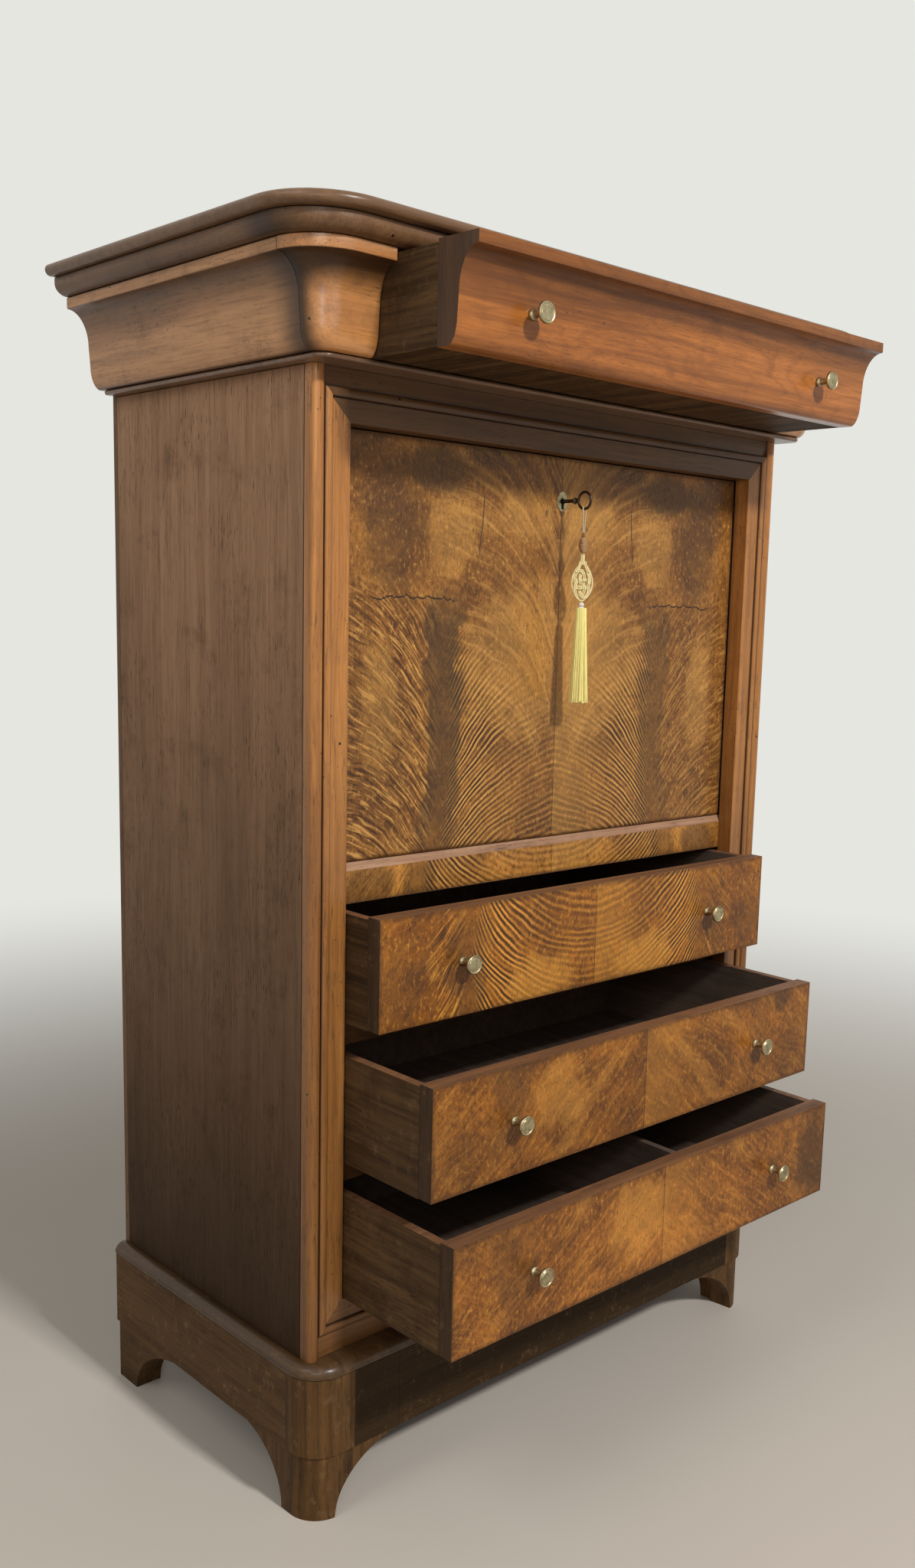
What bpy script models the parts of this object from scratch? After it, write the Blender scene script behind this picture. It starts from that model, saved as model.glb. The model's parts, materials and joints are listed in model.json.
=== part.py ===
"""Fall-front secretaire in walnut, modelled as separate pieces in metres, +Z up, front towards -Y.

The front plane of the face frame lies at Y = 0 while the pieces are worked out. A root empty then
moves everything so that the origin sits on the floor under the middle of the whole piece.
"""
import math

import bmesh
import bpy
from mathutils import Vector

# Clearances
SEAT = 0.0003
FRONT_GAP = 0.0015
TRAY_BACK_GAP = 0.004

# Case
CASE_DEPTH = 0.426
SIDE_THICK = 0.0165
BACK_THICK = 0.010
BOARD_THICK = 0.016
DUST_THICK = 0.012

# Face frame
OPENING_WIDTH = 0.710
STILE_WIDTH = 0.0525
FRAME_DEPTH = 0.0235
FRAME_FLAT = 0.0255
OGEE_STEP = 0.0012
OGEE_PROUD = 0.004
BEAD_PROUD = 0.006
SIDE_FRONT = 0.0115
EDGE_EASE = 0.0012
RAIL_DEPTH = 0.032

# Heights from the floor upwards
FOOT_HEIGHT = 0.083
BAND_HEIGHT = 0.098
BULLNOSE_HEIGHT = 0.015
BOTTOM_RAIL_HEIGHT = 0.0625
DRAWER_OPENING = 0.135
DIVIDER_HEIGHT = 0.034
MID_RAIL_HEIGHT = 0.048
FALL_OPENING = 0.4885
TOP_RAIL_HEIGHT = 0.0565
ASTRAGAL_HEIGHT = 0.006
CORNICE_HEIGHT = 0.105
OVOLO_HEIGHT = 0.0205
TOP_THICK = 0.014

# Cornice, measured outwards from the case sides and from a base plane ahead of the frame
CORNICE_FORWARD = 0.022
CORNER_BLOCK_WIDTH = 0.0475
ASTRAGAL_OUT = 0.0165
CYMA_FOOT_OUT = 0.016
CYMA_BELLY = 0.0138
CYMA_BELLY_HEIGHT = 0.027
CYMA_WAIST_HEIGHT = 0.023
CYMA_WAIST_LEAN = 0.0019
CYMA_LIP_OUT = 0.0592
FILLET_HEIGHT = 0.0138
OVOLO_FOOT_OUT = 0.0587
OVOLO_OUT = 0.0746
OVOLO_ROUND = 0.0136
TOP_OUT = 0.0865

# Plinth and bracket feet
BAND_OUT = 0.015
BAND_FORWARD = 0.030
BAND_CORNER = 0.045
BAND_THICK = 0.022
CORNER_FRONT_LENGTH = 0.065
CORNER_SIDE_LENGTH = 0.0485
BULLNOSE_QUIRK = 0.001
BULLNOSE_ROUND = 0.0125
FOOT_INSET = 0.004
FOOT_THICK = 0.036
FOOT_LIP = 0.0015
FRONT_BRACKET_SPAN = 0.1145
SIDE_BRACKET_SPAN = 0.097
SIDE_FOOT_LENGTH = 0.059
REAR_FOOT_LENGTH = 0.046
REAR_BRACKET_SPAN = 0.1325

# Drawers
FRONT_THICK = 0.022
TRAY_SIDE = 0.012
TRAY_BOTTOM = 0.008
TRAY_DROP = 0.003
KNOB_RADIUS = 0.0115
KNOB_LENGTH = 0.0215
KNOB_NECK = 0.0042
KNOB_COLLAR = 0.0062
KNOB_INSET = 0.1245
CORNICE_KNOB_INSET = 0.1015
CORNICE_KNOB_RISE = 0.050
CORNICE_PULL = 0.122
UPPER_PULL = 0.084
MIDDLE_PULL = 0.179
LOWER_PULL = 0.218

# Fall front, its pivots, lock and key
FALL_FRONT = 0.026
FALL_THICK = 0.022
FALL_GAP = 0.001
FALL_TOP_GAP = 0.0015
FALL_ROUND = 0.005
LEDGE_RISE = 0.008
LEDGE_DEPTH = 0.0045
LEVER_PIN_RADIUS = 0.003
LEVER_PIN_DEPTH = 0.009
LEVER_OFFSET = 0.009
LEVER_THICK = 0.007
LEVER_LENGTH = 0.095
LEVER_BELOW = 0.0015
KEY_DROP = 0.054
KEY_SHANK = 0.0024
KEY_HOLE = 0.0032
KEY_COLLAR = 0.0042
KEY_BIT_REACH = 0.0072
KEY_BIT_THICK = 0.002
BOW_RADIUS = 0.0105
BOW_WIRE = 0.0016
BOW_STAND_OFF = 0.040
ESCUTCHEON_WIDTH = 0.011
ESCUTCHEON_HEIGHT = 0.020
ESCUTCHEON_THICK = 0.001
LOCK_WIDTH = 0.070
LOCK_HEIGHT = 0.062
LOCK_DEPTH = 0.0125
LOCK_WALL = 0.0025
BOLT_WIDTH = 0.020
BOLT_DEPTH = 0.006
BOLT_BELOW_TOP = 0.003
BOLT_FOOT_RISE = 0.0095

# Tassel on the key
CORD_RADIUS = 0.0009
LOOP_LENGTH = 0.029
LOOP_FOOT = 0.0013
BEAD_RADIUS = 0.006
BEAD_HEIGHT = 0.0255
KNOT_WIDTH = 0.031
KNOT_THICK = 0.013
KNOT_HEIGHT = 0.061
COLLAR_RADIUS = 0.0036
COLLAR_HEIGHT = 0.005
SKIRT_TOP_RADIUS = 0.0062
SKIRT_RADIUS = 0.0125
SKIRT_HEIGHT = 0.129

# Fitted inside
NEST_SETBACK = 0.150
NEST_SHELF = 0.010
NEST_DRAWER_HEIGHT = 0.085
NEST_FRONT_THICK = 0.010
NEST_WALL = 0.007

# Facets on round stretches
ARC_STEPS = 6
TURN_STEPS = 16

# Places that follow from the sizes
OPENING = OPENING_WIDTH / 2
HALF = OPENING + STILE_WIDTH
INNER = HALF - SIDE_THICK
MITRE = INNER - SEAT - OPENING
BACK_INNER = CASE_DEPTH - BACK_THICK
RAIL_FRONT = FRAME_DEPTH + SEAT
FALL_BACK = FALL_FRONT + FALL_THICK
TOP_RAIL_BACK = FALL_BACK + FALL_TOP_GAP
CORNICE_BASE = -CORNICE_FORWARD
BLOCK_INNER = HALF - CORNER_BLOCK_WIDTH

BAND_LOW = FOOT_HEIGHT
BASE_LOW = BAND_LOW + BAND_HEIGHT
CASE_LOW = BASE_LOW + BULLNOSE_HEIGHT
LOWER_FLOOR = CASE_LOW + BOTTOM_RAIL_HEIGHT
MIDDLE_FLOOR = LOWER_FLOOR + DRAWER_OPENING + DIVIDER_HEIGHT
UPPER_FLOOR = MIDDLE_FLOOR + DRAWER_OPENING + DIVIDER_HEIGHT
MID_RAIL_LOW = UPPER_FLOOR + DRAWER_OPENING
LEDGE = MID_RAIL_LOW + MID_RAIL_HEIGHT
FRAME_TOP = LEDGE + FALL_OPENING
CASE_TOP = FRAME_TOP + TOP_RAIL_HEIGHT
CORNICE_LOW = CASE_TOP + ASTRAGAL_HEIGHT
CORNICE_TOP = CORNICE_LOW + CORNICE_HEIGHT
TOP_LOW = CORNICE_TOP + OVOLO_HEIGHT
TOTAL_HEIGHT = TOP_LOW + TOP_THICK

FALL_LOW = LEDGE + SEAT
FALL_HIGH = FRAME_TOP - FALL_TOP_GAP
PIVOT = Vector((0, FALL_FRONT + FALL_ROUND, FALL_LOW + FALL_ROUND))
WRITING_LEVEL = PIVOT.z + FALL_BACK - PIVOT.y
KEY_HEIGHT = FALL_HIGH - KEY_DROP
KEY_AXIS = Vector((0, FALL_FRONT, KEY_HEIGHT))
BOW_CENTRE = Vector((0, FALL_FRONT - BOW_STAND_OFF, KEY_HEIGHT))
LOOP_PIVOT = BOW_CENTRE - Vector((0, 0, BOW_RADIUS))
BEAD_TIP = LOOP_FOOT + CORD_RADIUS
TASSEL_PIVOT = LOOP_PIVOT - Vector((0, 0, LOOP_LENGTH + BEAD_TIP))
TRAY_END = BACK_INNER - TRAY_BACK_GAP

FRONT_MOST = min(RAIL_FRONT - LOWER_PULL - SEAT - KNOB_LENGTH,
                 RAIL_FRONT - MIDDLE_PULL - SEAT - KNOB_LENGTH,
                 RAIL_FRONT - UPPER_PULL - SEAT - KNOB_LENGTH,
                 CORNICE_BASE - CYMA_LIP_OUT - CORNICE_PULL)
MIDDLE_Y = (FRONT_MOST + CASE_DEPTH) / 2

# Colour, roughness and metallic of each finish
FINISHES = {
    "side walnut": ((0.145, 0.085, 0.048), 0.45, 0.0),
    "cornice walnut": ((0.230, 0.115, 0.050), 0.35, 0.0),
    "frame walnut": ((0.330, 0.165, 0.065), 0.35, 0.0),
    "flame veneer": ((0.260, 0.135, 0.048), 0.30, 0.0),
    "plinth walnut": ((0.105, 0.058, 0.032), 0.40, 0.0),
    "drawer oak": ((0.090, 0.055, 0.034), 0.65, 0.0),
    "brass": ((0.520, 0.420, 0.230), 0.35, 1.0),
    "iron": ((0.060, 0.055, 0.050), 0.50, 1.0),
    "turned wood": ((0.200, 0.095, 0.040), 0.40, 0.0),
    "silk": ((0.640, 0.470, 0.130), 0.60, 0.0),
}


def clear_scene():
    """Remove every object that is already there."""
    for obj in list(bpy.data.objects):
        bpy.data.objects.remove(obj, do_unlink=True)


def new_collection(name):
    """Make a collection in the scene and return it."""
    collection = bpy.data.collections.new(name)
    bpy.context.scene.collection.children.link(collection)
    return collection


def finish(obj, finish_name):
    """Give an object a Principled material of its own."""
    colour, roughness, metallic = FINISHES[finish_name]
    material = bpy.data.materials.new(obj.name)
    material.use_nodes = True
    shader = material.node_tree.nodes["Principled BSDF"]
    shader.inputs["Base Color"].default_value = (*colour, 1.0)
    shader.inputs["Roughness"].default_value = roughness
    shader.inputs["Metallic"].default_value = metallic
    obj.data.materials.clear()
    obj.data.materials.append(material)


def empty(name, place, parent=None):
    """Add an empty at a place of the working frame and return it."""
    obj = bpy.data.objects.new(name, None)
    PARTS.objects.link(obj)
    hang(obj, Vector(place), parent)
    return obj


def hang(obj, place, parent):
    """Put an object at a place of the working frame, under a parent empty."""
    obj.parent = parent
    obj["place"] = list(place)
    obj.location = place - Vector(parent["place"]) if parent else place


def add(name, mesh, place, parent, finish_name=None, turn=(0, 0, 0)):
    """Add a mesh object; one without a finish is a cutter or a tool for a union."""
    obj = bpy.data.objects.new(name, mesh)
    obj.rotation_euler = turn
    hang(obj, Vector(place), parent)
    if finish_name:
        PARTS.objects.link(obj)
        finish(obj, finish_name)
    else:
        CUTTERS.objects.link(obj)
        obj.hide_render = True
        obj.display_type = 'WIRE'
    return obj


def mesh_from(bm, name):
    """Turn a bmesh into a mesh with its faces pointing outwards."""
    bmesh.ops.recalc_face_normals(bm, faces=bm.faces)
    mesh = bpy.data.meshes.new(name)
    bm.to_mesh(mesh)
    bm.free()
    return mesh


def smooth(obj, angle=35):
    """Shade an object smooth, with its corners kept sharp."""
    obj.data.shade_smooth()
    obj.data.set_sharp_from_angle(angle=math.radians(angle))
    return obj


def box(name, low, high, parent, finish_name=None, ease=0.0):
    """A box between two corners, with its edges eased if asked."""
    low, high = Vector(low), Vector(high)
    bm = bmesh.new()
    bmesh.ops.create_cube(bm, size=1.0)
    bmesh.ops.scale(bm, vec=high - low, verts=bm.verts)
    obj = add(name, mesh_from(bm, name), (low + high) / 2, parent, finish_name)
    if ease:
        bevel = obj.modifiers.new("eased edges", 'BEVEL')
        bevel.width = ease
        bevel.segments = 1
    return obj


def rod(name, start, end, radius, parent, finish_name=None, sides=TURN_STEPS):
    """A straight round rod between two points."""
    start, end = Vector(start), Vector(end)
    run = end - start
    bm = bmesh.new()
    bmesh.ops.create_cone(bm, cap_ends=True, segments=sides, radius1=radius, radius2=radius,
                          depth=run.length)
    turn = run.to_track_quat('Z', 'Y').to_euler()
    return add(name, mesh_from(bm, name), (start + end) / 2, parent, finish_name, turn)


def as_mesh(curve_obj, name):
    """Read a curve object as a welded mesh and remove the curve."""
    bpy.context.view_layer.update()
    evaluated = curve_obj.evaluated_get(bpy.context.evaluated_depsgraph_get())
    mesh = bpy.data.meshes.new_from_object(evaluated)
    bpy.data.objects.remove(curve_obj, do_unlink=True)
    bm = bmesh.new()
    bm.from_mesh(mesh)
    bpy.data.meshes.remove(mesh)
    bmesh.ops.remove_doubles(bm, verts=bm.verts, dist=0.00001)
    return mesh_from(bm, name)


def outline_mesh(name, points, thickness):
    """A flat closed outline, filled and given a thickness."""
    curve = bpy.data.curves.new(name, 'CURVE')
    curve.dimensions = '2D'
    curve.fill_mode = 'BOTH'
    curve.extrude = thickness / 2
    spline = curve.splines.new('POLY')
    spline.points.add(len(points) - 1)
    spline.use_cyclic_u = True
    for target, point in zip(spline.points, points):
        target.co = (*point, 0, 1)
    curve_obj = bpy.data.objects.new(name, curve)
    CUTTERS.objects.link(curve_obj)
    return as_mesh(curve_obj, name)


def prism(name, points, axis, low, high, parent, finish_name=None):
    """An outline pushed along an axis: X takes (y, z) points, Y takes (x, z), Z takes (x, y)."""
    middle = (low + high) / 2
    turn = {"X": (math.pi / 2, 0, math.pi / 2), "Y": (math.pi / 2, 0, 0), "Z": (0, 0, 0)}[axis]
    place = {"X": (middle, 0, 0), "Y": (0, middle, 0), "Z": (0, 0, middle)}[axis]
    return add(name, outline_mesh(name, points, high - low), place, parent, finish_name, turn)


def turned(name, profile, place, parent, finish_name=None, turn=(0, 0, 0)):
    """A turned shape: (radius, height) points down its outer side, from axis to axis."""
    bm = bmesh.new()
    verts = [bm.verts.new((radius, 0, height)) for radius, height in profile]
    for first, second in zip(verts, verts[1:]):
        bm.edges.new((first, second))
    mesh = bpy.data.meshes.new(name)
    bm.to_mesh(mesh)
    bm.free()
    obj = add(name, mesh, place, parent, finish_name, turn)
    screw = obj.modifiers.new("turned", 'SCREW')
    screw.steps = TURN_STEPS
    screw.render_steps = TURN_STEPS
    screw.use_merge_vertices = True
    screw.merge_threshold = 0.00005
    screw.use_smooth_shade = True
    return obj


def loft(name, rings, parent, finish_name):
    """A solid through a stack of level rings, each (height, outline) with equal point counts."""
    bm = bmesh.new()
    loops = [[bm.verts.new((x, y, height)) for x, y in outline] for height, outline in rings]
    count = len(loops[0])
    for lower, upper in zip(loops, loops[1:]):
        for i in range(count):
            j = (i + 1) % count
            bm.faces.new((lower[i], lower[j], upper[j], upper[i]))
    bm.faces.new(reversed(loops[0]))
    bm.faces.new(loops[-1])
    return smooth(add(name, mesh_from(bm, name), (0, 0, 0), parent, finish_name))


def combine(obj, tool, operation):
    """Cut, join or trim an object with a tool."""
    boolean = obj.modifiers.new(tool.name, 'BOOLEAN')
    boolean.operation = operation
    boolean.object = tool
    boolean.solver = 'EXACT'
    boolean.use_self = True


def arc(centre, radii, start, end, steps=ARC_STEPS):
    """Points on an elliptic arc, angles in degrees."""
    angles = [math.radians(start + (end - start) * i / steps) for i in range(steps + 1)]
    return [(centre[0] + radii[0] * math.cos(a), centre[1] + radii[1] * math.sin(a)) for a in angles]


def mirrored(points, side):
    """Outline points for the right side, mirrored when the side is -1."""
    return [(side * x, y) for x, y in points]


def plan(half_width, front, back, radius):
    """Outline of a slab seen from above, its two front corners rounded."""
    left = arc((radius - half_width, front + radius), (radius, radius), 180, 270)
    right = arc((half_width - radius, front + radius), (radius, radius), 270, 360)
    return [(-half_width, back), *left, *right, (half_width, back)]


def cornice_plan(out, back):
    """Outline of a cornice layer that stands out by a distance all round."""
    return plan(HALF + out, CORNICE_BASE - out, back, out)


def cyma_profile():
    """Cornice moulding as (out, height) points from its foot to the top of its lip."""
    waist_out = CYMA_FOOT_OUT + CYMA_BELLY
    cove_low = CYMA_BELLY_HEIGHT + CYMA_WAIST_HEIGHT
    cove_high = CORNICE_HEIGHT - FILLET_HEIGHT
    cove_out = waist_out + CYMA_WAIST_LEAN
    belly = arc((CYMA_FOOT_OUT, CYMA_BELLY_HEIGHT), (CYMA_BELLY, CYMA_BELLY_HEIGHT), -90, 0)
    cove = arc((CYMA_LIP_OUT, cove_low), (CYMA_LIP_OUT - cove_out, cove_high - cove_low), 180, 90)
    return [*belly, *cove, (CYMA_LIP_OUT, CORNICE_HEIGHT)]


def side_name(side):
    """Word for the viewer's left or right."""
    return "right" if side > 0 else "left"


def frame_face(start, direction):
    """Moulded face of the frame as (across, depth) points from its inner edge outwards."""
    ogee_start = FRAME_FLAT
    ogee_width = MITRE - FRAME_FLAT
    swell = arc((ogee_start + ogee_width / 2, -OGEE_STEP),
                (ogee_width / 2, OGEE_PROUD - OGEE_STEP), 180, 360)
    points = [(0, FRAME_DEPTH), (0, EDGE_EASE), (EDGE_EASE, 0), (ogee_start, 0), *swell, (MITRE, 0)]
    return [(start + direction * across, depth) for across, depth in points]


def build_stile(side):
    """Upright of the face frame with its round corner bead, mitred at both ends."""
    radius = SIDE_THICK / 2
    bead_y = radius - BEAD_PROUD
    bead = arc((HALF - radius, bead_y), (radius, radius), 180, 360)
    inner_back = [(HALF, SIDE_FRONT), (INNER - SEAT, SIDE_FRONT), (INNER - SEAT, FRAME_DEPTH)]
    points = mirrored([*frame_face(OPENING, 1), *bead, *inner_back], side)
    name = f"stile_{side_name(side)}"
    stile = prism(name, points, "Z", CASE_LOW + SEAT, CASE_TOP - SEAT, ROOT, "frame walnut")
    reach = FRAME_DEPTH
    stop = INNER + 2 * SEAT
    for end, inner, outer in (("bottom", LOWER_FLOOR, CASE_LOW - reach), ("top", FRAME_TOP, CASE_TOP + reach)):
        away = -1 if outer < inner else 1
        cut = mirrored([(OPENING - reach, inner - away * reach), (stop, inner + away * (stop - OPENING)),
                        (stop, outer), (OPENING - reach, outer)], side)
        cutter = prism(f"{name}_{end}_mitre", cut, "Y", -reach, 2 * reach, ROOT)
        combine(stile, cutter, 'DIFFERENCE')
    return smooth(stile)


def build_frame_rail(name, inner, outer, back):
    """Top or bottom rail of the face frame, mitred into the stiles."""
    away = 1 if outer > inner else -1
    face = [(depth, height) for height, depth in frame_face(inner, away)]
    points = [(back, inner), *face[1:], (0, outer), (back, outer)]
    half_length = INNER - 2 * SEAT
    rail = prism(name, points, "X", -half_length, half_length, ROOT, "frame walnut")
    reach = FRAME_DEPTH
    line = SEAT * math.sqrt(2)
    for side in (-1, 1):
        cut = mirrored([(OPENING - reach, inner - away * (reach - line)),
                        (OPENING + MITRE + reach, inner + away * (MITRE + reach + line)),
                        (OPENING + MITRE + reach, inner - away * (reach - line))], side)
        cutter = prism(f"{name}_{side_name(side)}_mitre", cut, "Y", -reach, back + reach, ROOT)
        combine(rail, cutter, 'DIFFERENCE')
    return smooth(rail)


def build_case():
    """Sides, back, boards and rails that never move."""
    for side in (-1, 1):
        inner, outer = sorted((side * INNER, side * HALF))
        box(f"side_panel_{side_name(side)}", (inner, SIDE_FRONT + SEAT, CASE_LOW + SEAT),
            (outer, BACK_INNER - SEAT, CASE_TOP - SEAT), ROOT, "side walnut")
        build_stile(side)
    shoulder = CORNICE_LOW - SEAT
    neck = BLOCK_INNER - SEAT
    back = [(-HALF, CASE_LOW + SEAT), (HALF, CASE_LOW + SEAT), (HALF, shoulder), (neck, shoulder),
            (neck, CORNICE_TOP - SEAT), (-neck, CORNICE_TOP - SEAT), (-neck, shoulder), (-HALF, shoulder)]
    prism("back_panel", back, "Y", BACK_INNER, CASE_DEPTH, ROOT, "side walnut")
    build_frame_rail("frame_bottom_rail", LOWER_FLOOR, CASE_LOW + SEAT, FRAME_DEPTH)
    build_frame_rail("frame_top_rail", FRAME_TOP, CASE_TOP - SEAT, TOP_RAIL_BACK)
    reach = INNER - SEAT
    end = BACK_INNER - SEAT
    box("carcass_bottom", (-reach, RAIL_FRONT, LOWER_FLOOR - BOARD_THICK), (reach, end, LOWER_FLOOR),
        ROOT, "drawer oak")
    box("case_top", (-reach, TOP_RAIL_BACK + SEAT, CASE_TOP - SEAT - BOARD_THICK),
        (reach, end, CASE_TOP - SEAT), ROOT, "drawer oak")
    rail_back = RAIL_FRONT + RAIL_DEPTH
    for name, top in (("drawer_divider_lower", MIDDLE_FLOOR), ("drawer_divider_upper", UPPER_FLOOR)):
        low = top - DIVIDER_HEIGHT
        section = [(RAIL_FRONT, low), (rail_back, low), (rail_back, top - DUST_THICK),
                   (end, top - DUST_THICK), (end, top), (RAIL_FRONT, top)]
        prism(name, section, "X", -reach, reach, ROOT, "flame veneer")
    section = [(RAIL_FRONT, MID_RAIL_LOW), (rail_back, MID_RAIL_LOW), (rail_back, LEDGE),
               (RAIL_FRONT + LEDGE_DEPTH, LEDGE), (RAIL_FRONT, LEDGE - LEDGE_RISE)]
    prism("mid_rail", section, "X", -reach, reach, ROOT, "flame veneer")
    floor_front = PIVOT.y + math.hypot(FALL_BACK - PIVOT.y, FALL_ROUND) + SEAT
    notch_in = OPENING + LEVER_OFFSET - FRONT_GAP
    notch_back = PIVOT.y + LEVER_LENGTH + FRONT_GAP
    floor = [(-notch_in, floor_front), (notch_in, floor_front), (notch_in, notch_back),
             (reach, notch_back), (reach, end), (-reach, end), (-reach, notch_back),
             (-notch_in, notch_back)]
    prism("writing_floor", floor, "Z", LEDGE + SEAT, WRITING_LEVEL, ROOT, "drawer oak")


def build_cornice():
    """Astragal, ogee cornice, ovolo and top board."""
    radius = ASTRAGAL_HEIGHT / 2
    round_edge = arc((ASTRAGAL_OUT - radius, radius), (radius, radius), -90, 90)
    loft("astragal", [(CASE_TOP + height, cornice_plan(out, BACK_INNER - SEAT)) for out, height in round_edge],
         ROOT, "cornice walnut")
    low = CORNICE_LOW + SEAT
    high = CORNICE_TOP - SEAT
    heights = [(out, min(max(CORNICE_LOW + rise, low), high)) for out, rise in cyma_profile()]
    for side in (-1, 1):
        section = [(BLOCK_INNER, low), *[(HALF + out, height) for out, height in heights], (BLOCK_INNER, high)]
        smooth(prism(f"cornice_side_{side_name(side)}", mirrored(section, side), "Y",
                     CORNICE_BASE + SEAT, CASE_DEPTH, ROOT, "cornice walnut"))
        rings = []
        for out, height in heights:
            corner = arc((HALF, CORNICE_BASE), (out, out), 270, 360)
            ring = [(BLOCK_INNER, CORNICE_BASE), (BLOCK_INNER, CORNICE_BASE - out), *corner]
            rings.append((height, mirrored(ring, side)))
        loft(f"cornice_corner_{side_name(side)}", rings, ROOT, "cornice walnut")
    ovolo = arc((OVOLO_FOOT_OUT, OVOLO_ROUND), (OVOLO_OUT - OVOLO_FOOT_OUT, OVOLO_ROUND), -90, 0)
    rings = [(CORNICE_TOP + height, cornice_plan(out, CASE_DEPTH)) for out, height in ovolo]
    rings.append((TOP_LOW - SEAT, cornice_plan(OVOLO_OUT, CASE_DEPTH)))
    loft("top_moulding", rings, ROOT, "cornice walnut")
    radius = TOP_THICK / 2
    round_edge = arc((TOP_OUT - radius, radius), (radius, radius), -90, 90)
    loft("top_board", [(TOP_LOW + height, cornice_plan(out, CASE_DEPTH)) for out, height in round_edge],
         ROOT, "cornice walnut")


def build_plinth():
    """Base board with its round edge, the band below it and the bracket feet."""
    width = HALF + BAND_OUT
    front = -BAND_FORWARD
    rise = BULLNOSE_HEIGHT - BULLNOSE_ROUND
    swell = [(-BULLNOSE_QUIRK, 0), (BULLNOSE_QUIRK, rise)]
    swell += arc((BULLNOSE_QUIRK - BULLNOSE_ROUND, rise), (BULLNOSE_ROUND, BULLNOSE_ROUND), 0, 90)
    rings = []
    for out, height in swell:
        outline = plan(width + out, front - out, CASE_DEPTH, BAND_CORNER + out)
        rings.append((BASE_LOW + height, outline))
    loft("plinth_bullnose", rings, ROOT, "plinth walnut")
    high = BASE_LOW - SEAT
    seam_x = width - CORNER_FRONT_LENGTH
    seam_y = front + CORNER_SIDE_LENGTH
    box("plinth_front", (SEAT - seam_x, front, BAND_LOW), (seam_x - SEAT, front + BAND_THICK, high),
        ROOT, "plinth walnut")
    for side in (-1, 1):
        inner, outer = sorted((side * (width - BAND_THICK), side * width))
        box(f"plinth_side_{side_name(side)}", (inner, seam_y + SEAT, BAND_LOW), (outer, CASE_DEPTH, high),
            ROOT, "plinth walnut")
        corner = arc((width - BAND_CORNER, front + BAND_CORNER), (BAND_CORNER, BAND_CORNER), 270, 360)
        outline = [(seam_x, seam_y), (seam_x, front), *corner, (width, seam_y)]
        smooth(prism(f"plinth_corner_{side_name(side)}", mirrored(outline, side), "Z", BAND_LOW, high,
                     ROOT, "plinth walnut"))
        build_front_foot(side, width - FOOT_INSET, front + FOOT_INSET)
        build_rear_foot(side, width - FOOT_INSET)


def bracket(tip, toe, heel):
    """Scrolled bracket as (along, height) points: a flat toe and a hollow curve up to its tip."""
    high = FOOT_HEIGHT - SEAT
    hollow = arc((tip, 0), (toe - tip, high - FOOT_LIP), 90, 0)
    return [(heel, 0), (heel, high), (tip, high), *hollow]


def build_front_foot(side, width, front):
    """Foot under a front corner: a front bracket and a side bracket around a rounded corner."""
    name = f"foot_front_{side_name(side)}"
    toe_x = width - FOOT_THICK
    toe_y = front + SIDE_FOOT_LENGTH
    tip_y = toe_y + SIDE_BRACKET_SPAN
    across = mirrored(bracket(toe_x - FRONT_BRACKET_SPAN, toe_x, width), side)
    foot = prism(name, across, "Y", front, front + FOOT_THICK, ROOT, "plinth walnut")
    inner, outer = sorted((side * toe_x, side * width))
    along = prism(f"{name}_side", bracket(tip_y, toe_y, front), "X", inner, outer, ROOT)
    combine(foot, along, 'UNION')
    radius = BAND_CORNER - FOOT_INSET
    corner = arc((width - radius, front + radius), (radius, radius), 270, 360)
    inside = toe_x - FRONT_BRACKET_SPAN - FOOT_THICK
    far = tip_y + FOOT_THICK
    rounded = mirrored([(inside, front), *corner, (width, far), (inside, far)], side)
    trim = prism(f"{name}_round", rounded, "Z", -FOOT_THICK, FOOT_HEIGHT + FOOT_THICK, ROOT)
    combine(foot, trim, 'INTERSECT')


def build_rear_foot(side, width):
    """Foot under a back corner: one side bracket."""
    inner, outer = sorted((side * (width - FOOT_THICK), side * width))
    toe = CASE_DEPTH - REAR_FOOT_LENGTH
    prism(f"foot_rear_{side_name(side)}", bracket(toe - REAR_BRACKET_SPAN, toe, CASE_DEPTH), "X",
          inner, outer, ROOT, "plinth walnut")


def build_knob(name, place, parent):
    """Turned brass knob: collar, neck and flat head with a round rim."""
    head = KNOB_LENGTH - KNOB_NECK
    profile = [(0, KNOB_LENGTH), (0.7 * KNOB_RADIUS, KNOB_LENGTH), *arc(
        (0.85 * KNOB_RADIUS, (KNOB_LENGTH + head) / 2), (0.15 * KNOB_RADIUS, KNOB_NECK / 2), 90, -90, 4)]
    profile += [(KNOB_NECK, head - KNOB_NECK / 2), (KNOB_NECK, KNOB_NECK), (KNOB_COLLAR, KNOB_NECK / 2),
                (KNOB_COLLAR, 0), (0, 0)]
    turned(name, profile, place, parent, "brass", (math.pi / 2, 0, 0))


def build_tray(name, half_width, front, low, high, parent):
    """Sides, back and bottom of a drawer, open at the front where the drawer front closes it."""
    end = TRAY_END + front.offset
    tray = box(name, (-half_width, front.back + SEAT, low), (half_width, end, high), parent, "drawer oak")
    inside = box(f"{name}_inside", (TRAY_SIDE - half_width, front.back - TRAY_SIDE, low + TRAY_BOTTOM),
                 (half_width - TRAY_SIDE, end - TRAY_SIDE, high + TRAY_SIDE), parent)
    combine(tray, inside, 'DIFFERENCE')


class Front:
    """Where a drawer front stands: its face and back, moved forwards by how far it is pulled."""

    def __init__(self, face, back, pull):
        self.face = face - pull
        self.back = back - pull
        self.offset = -pull


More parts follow.
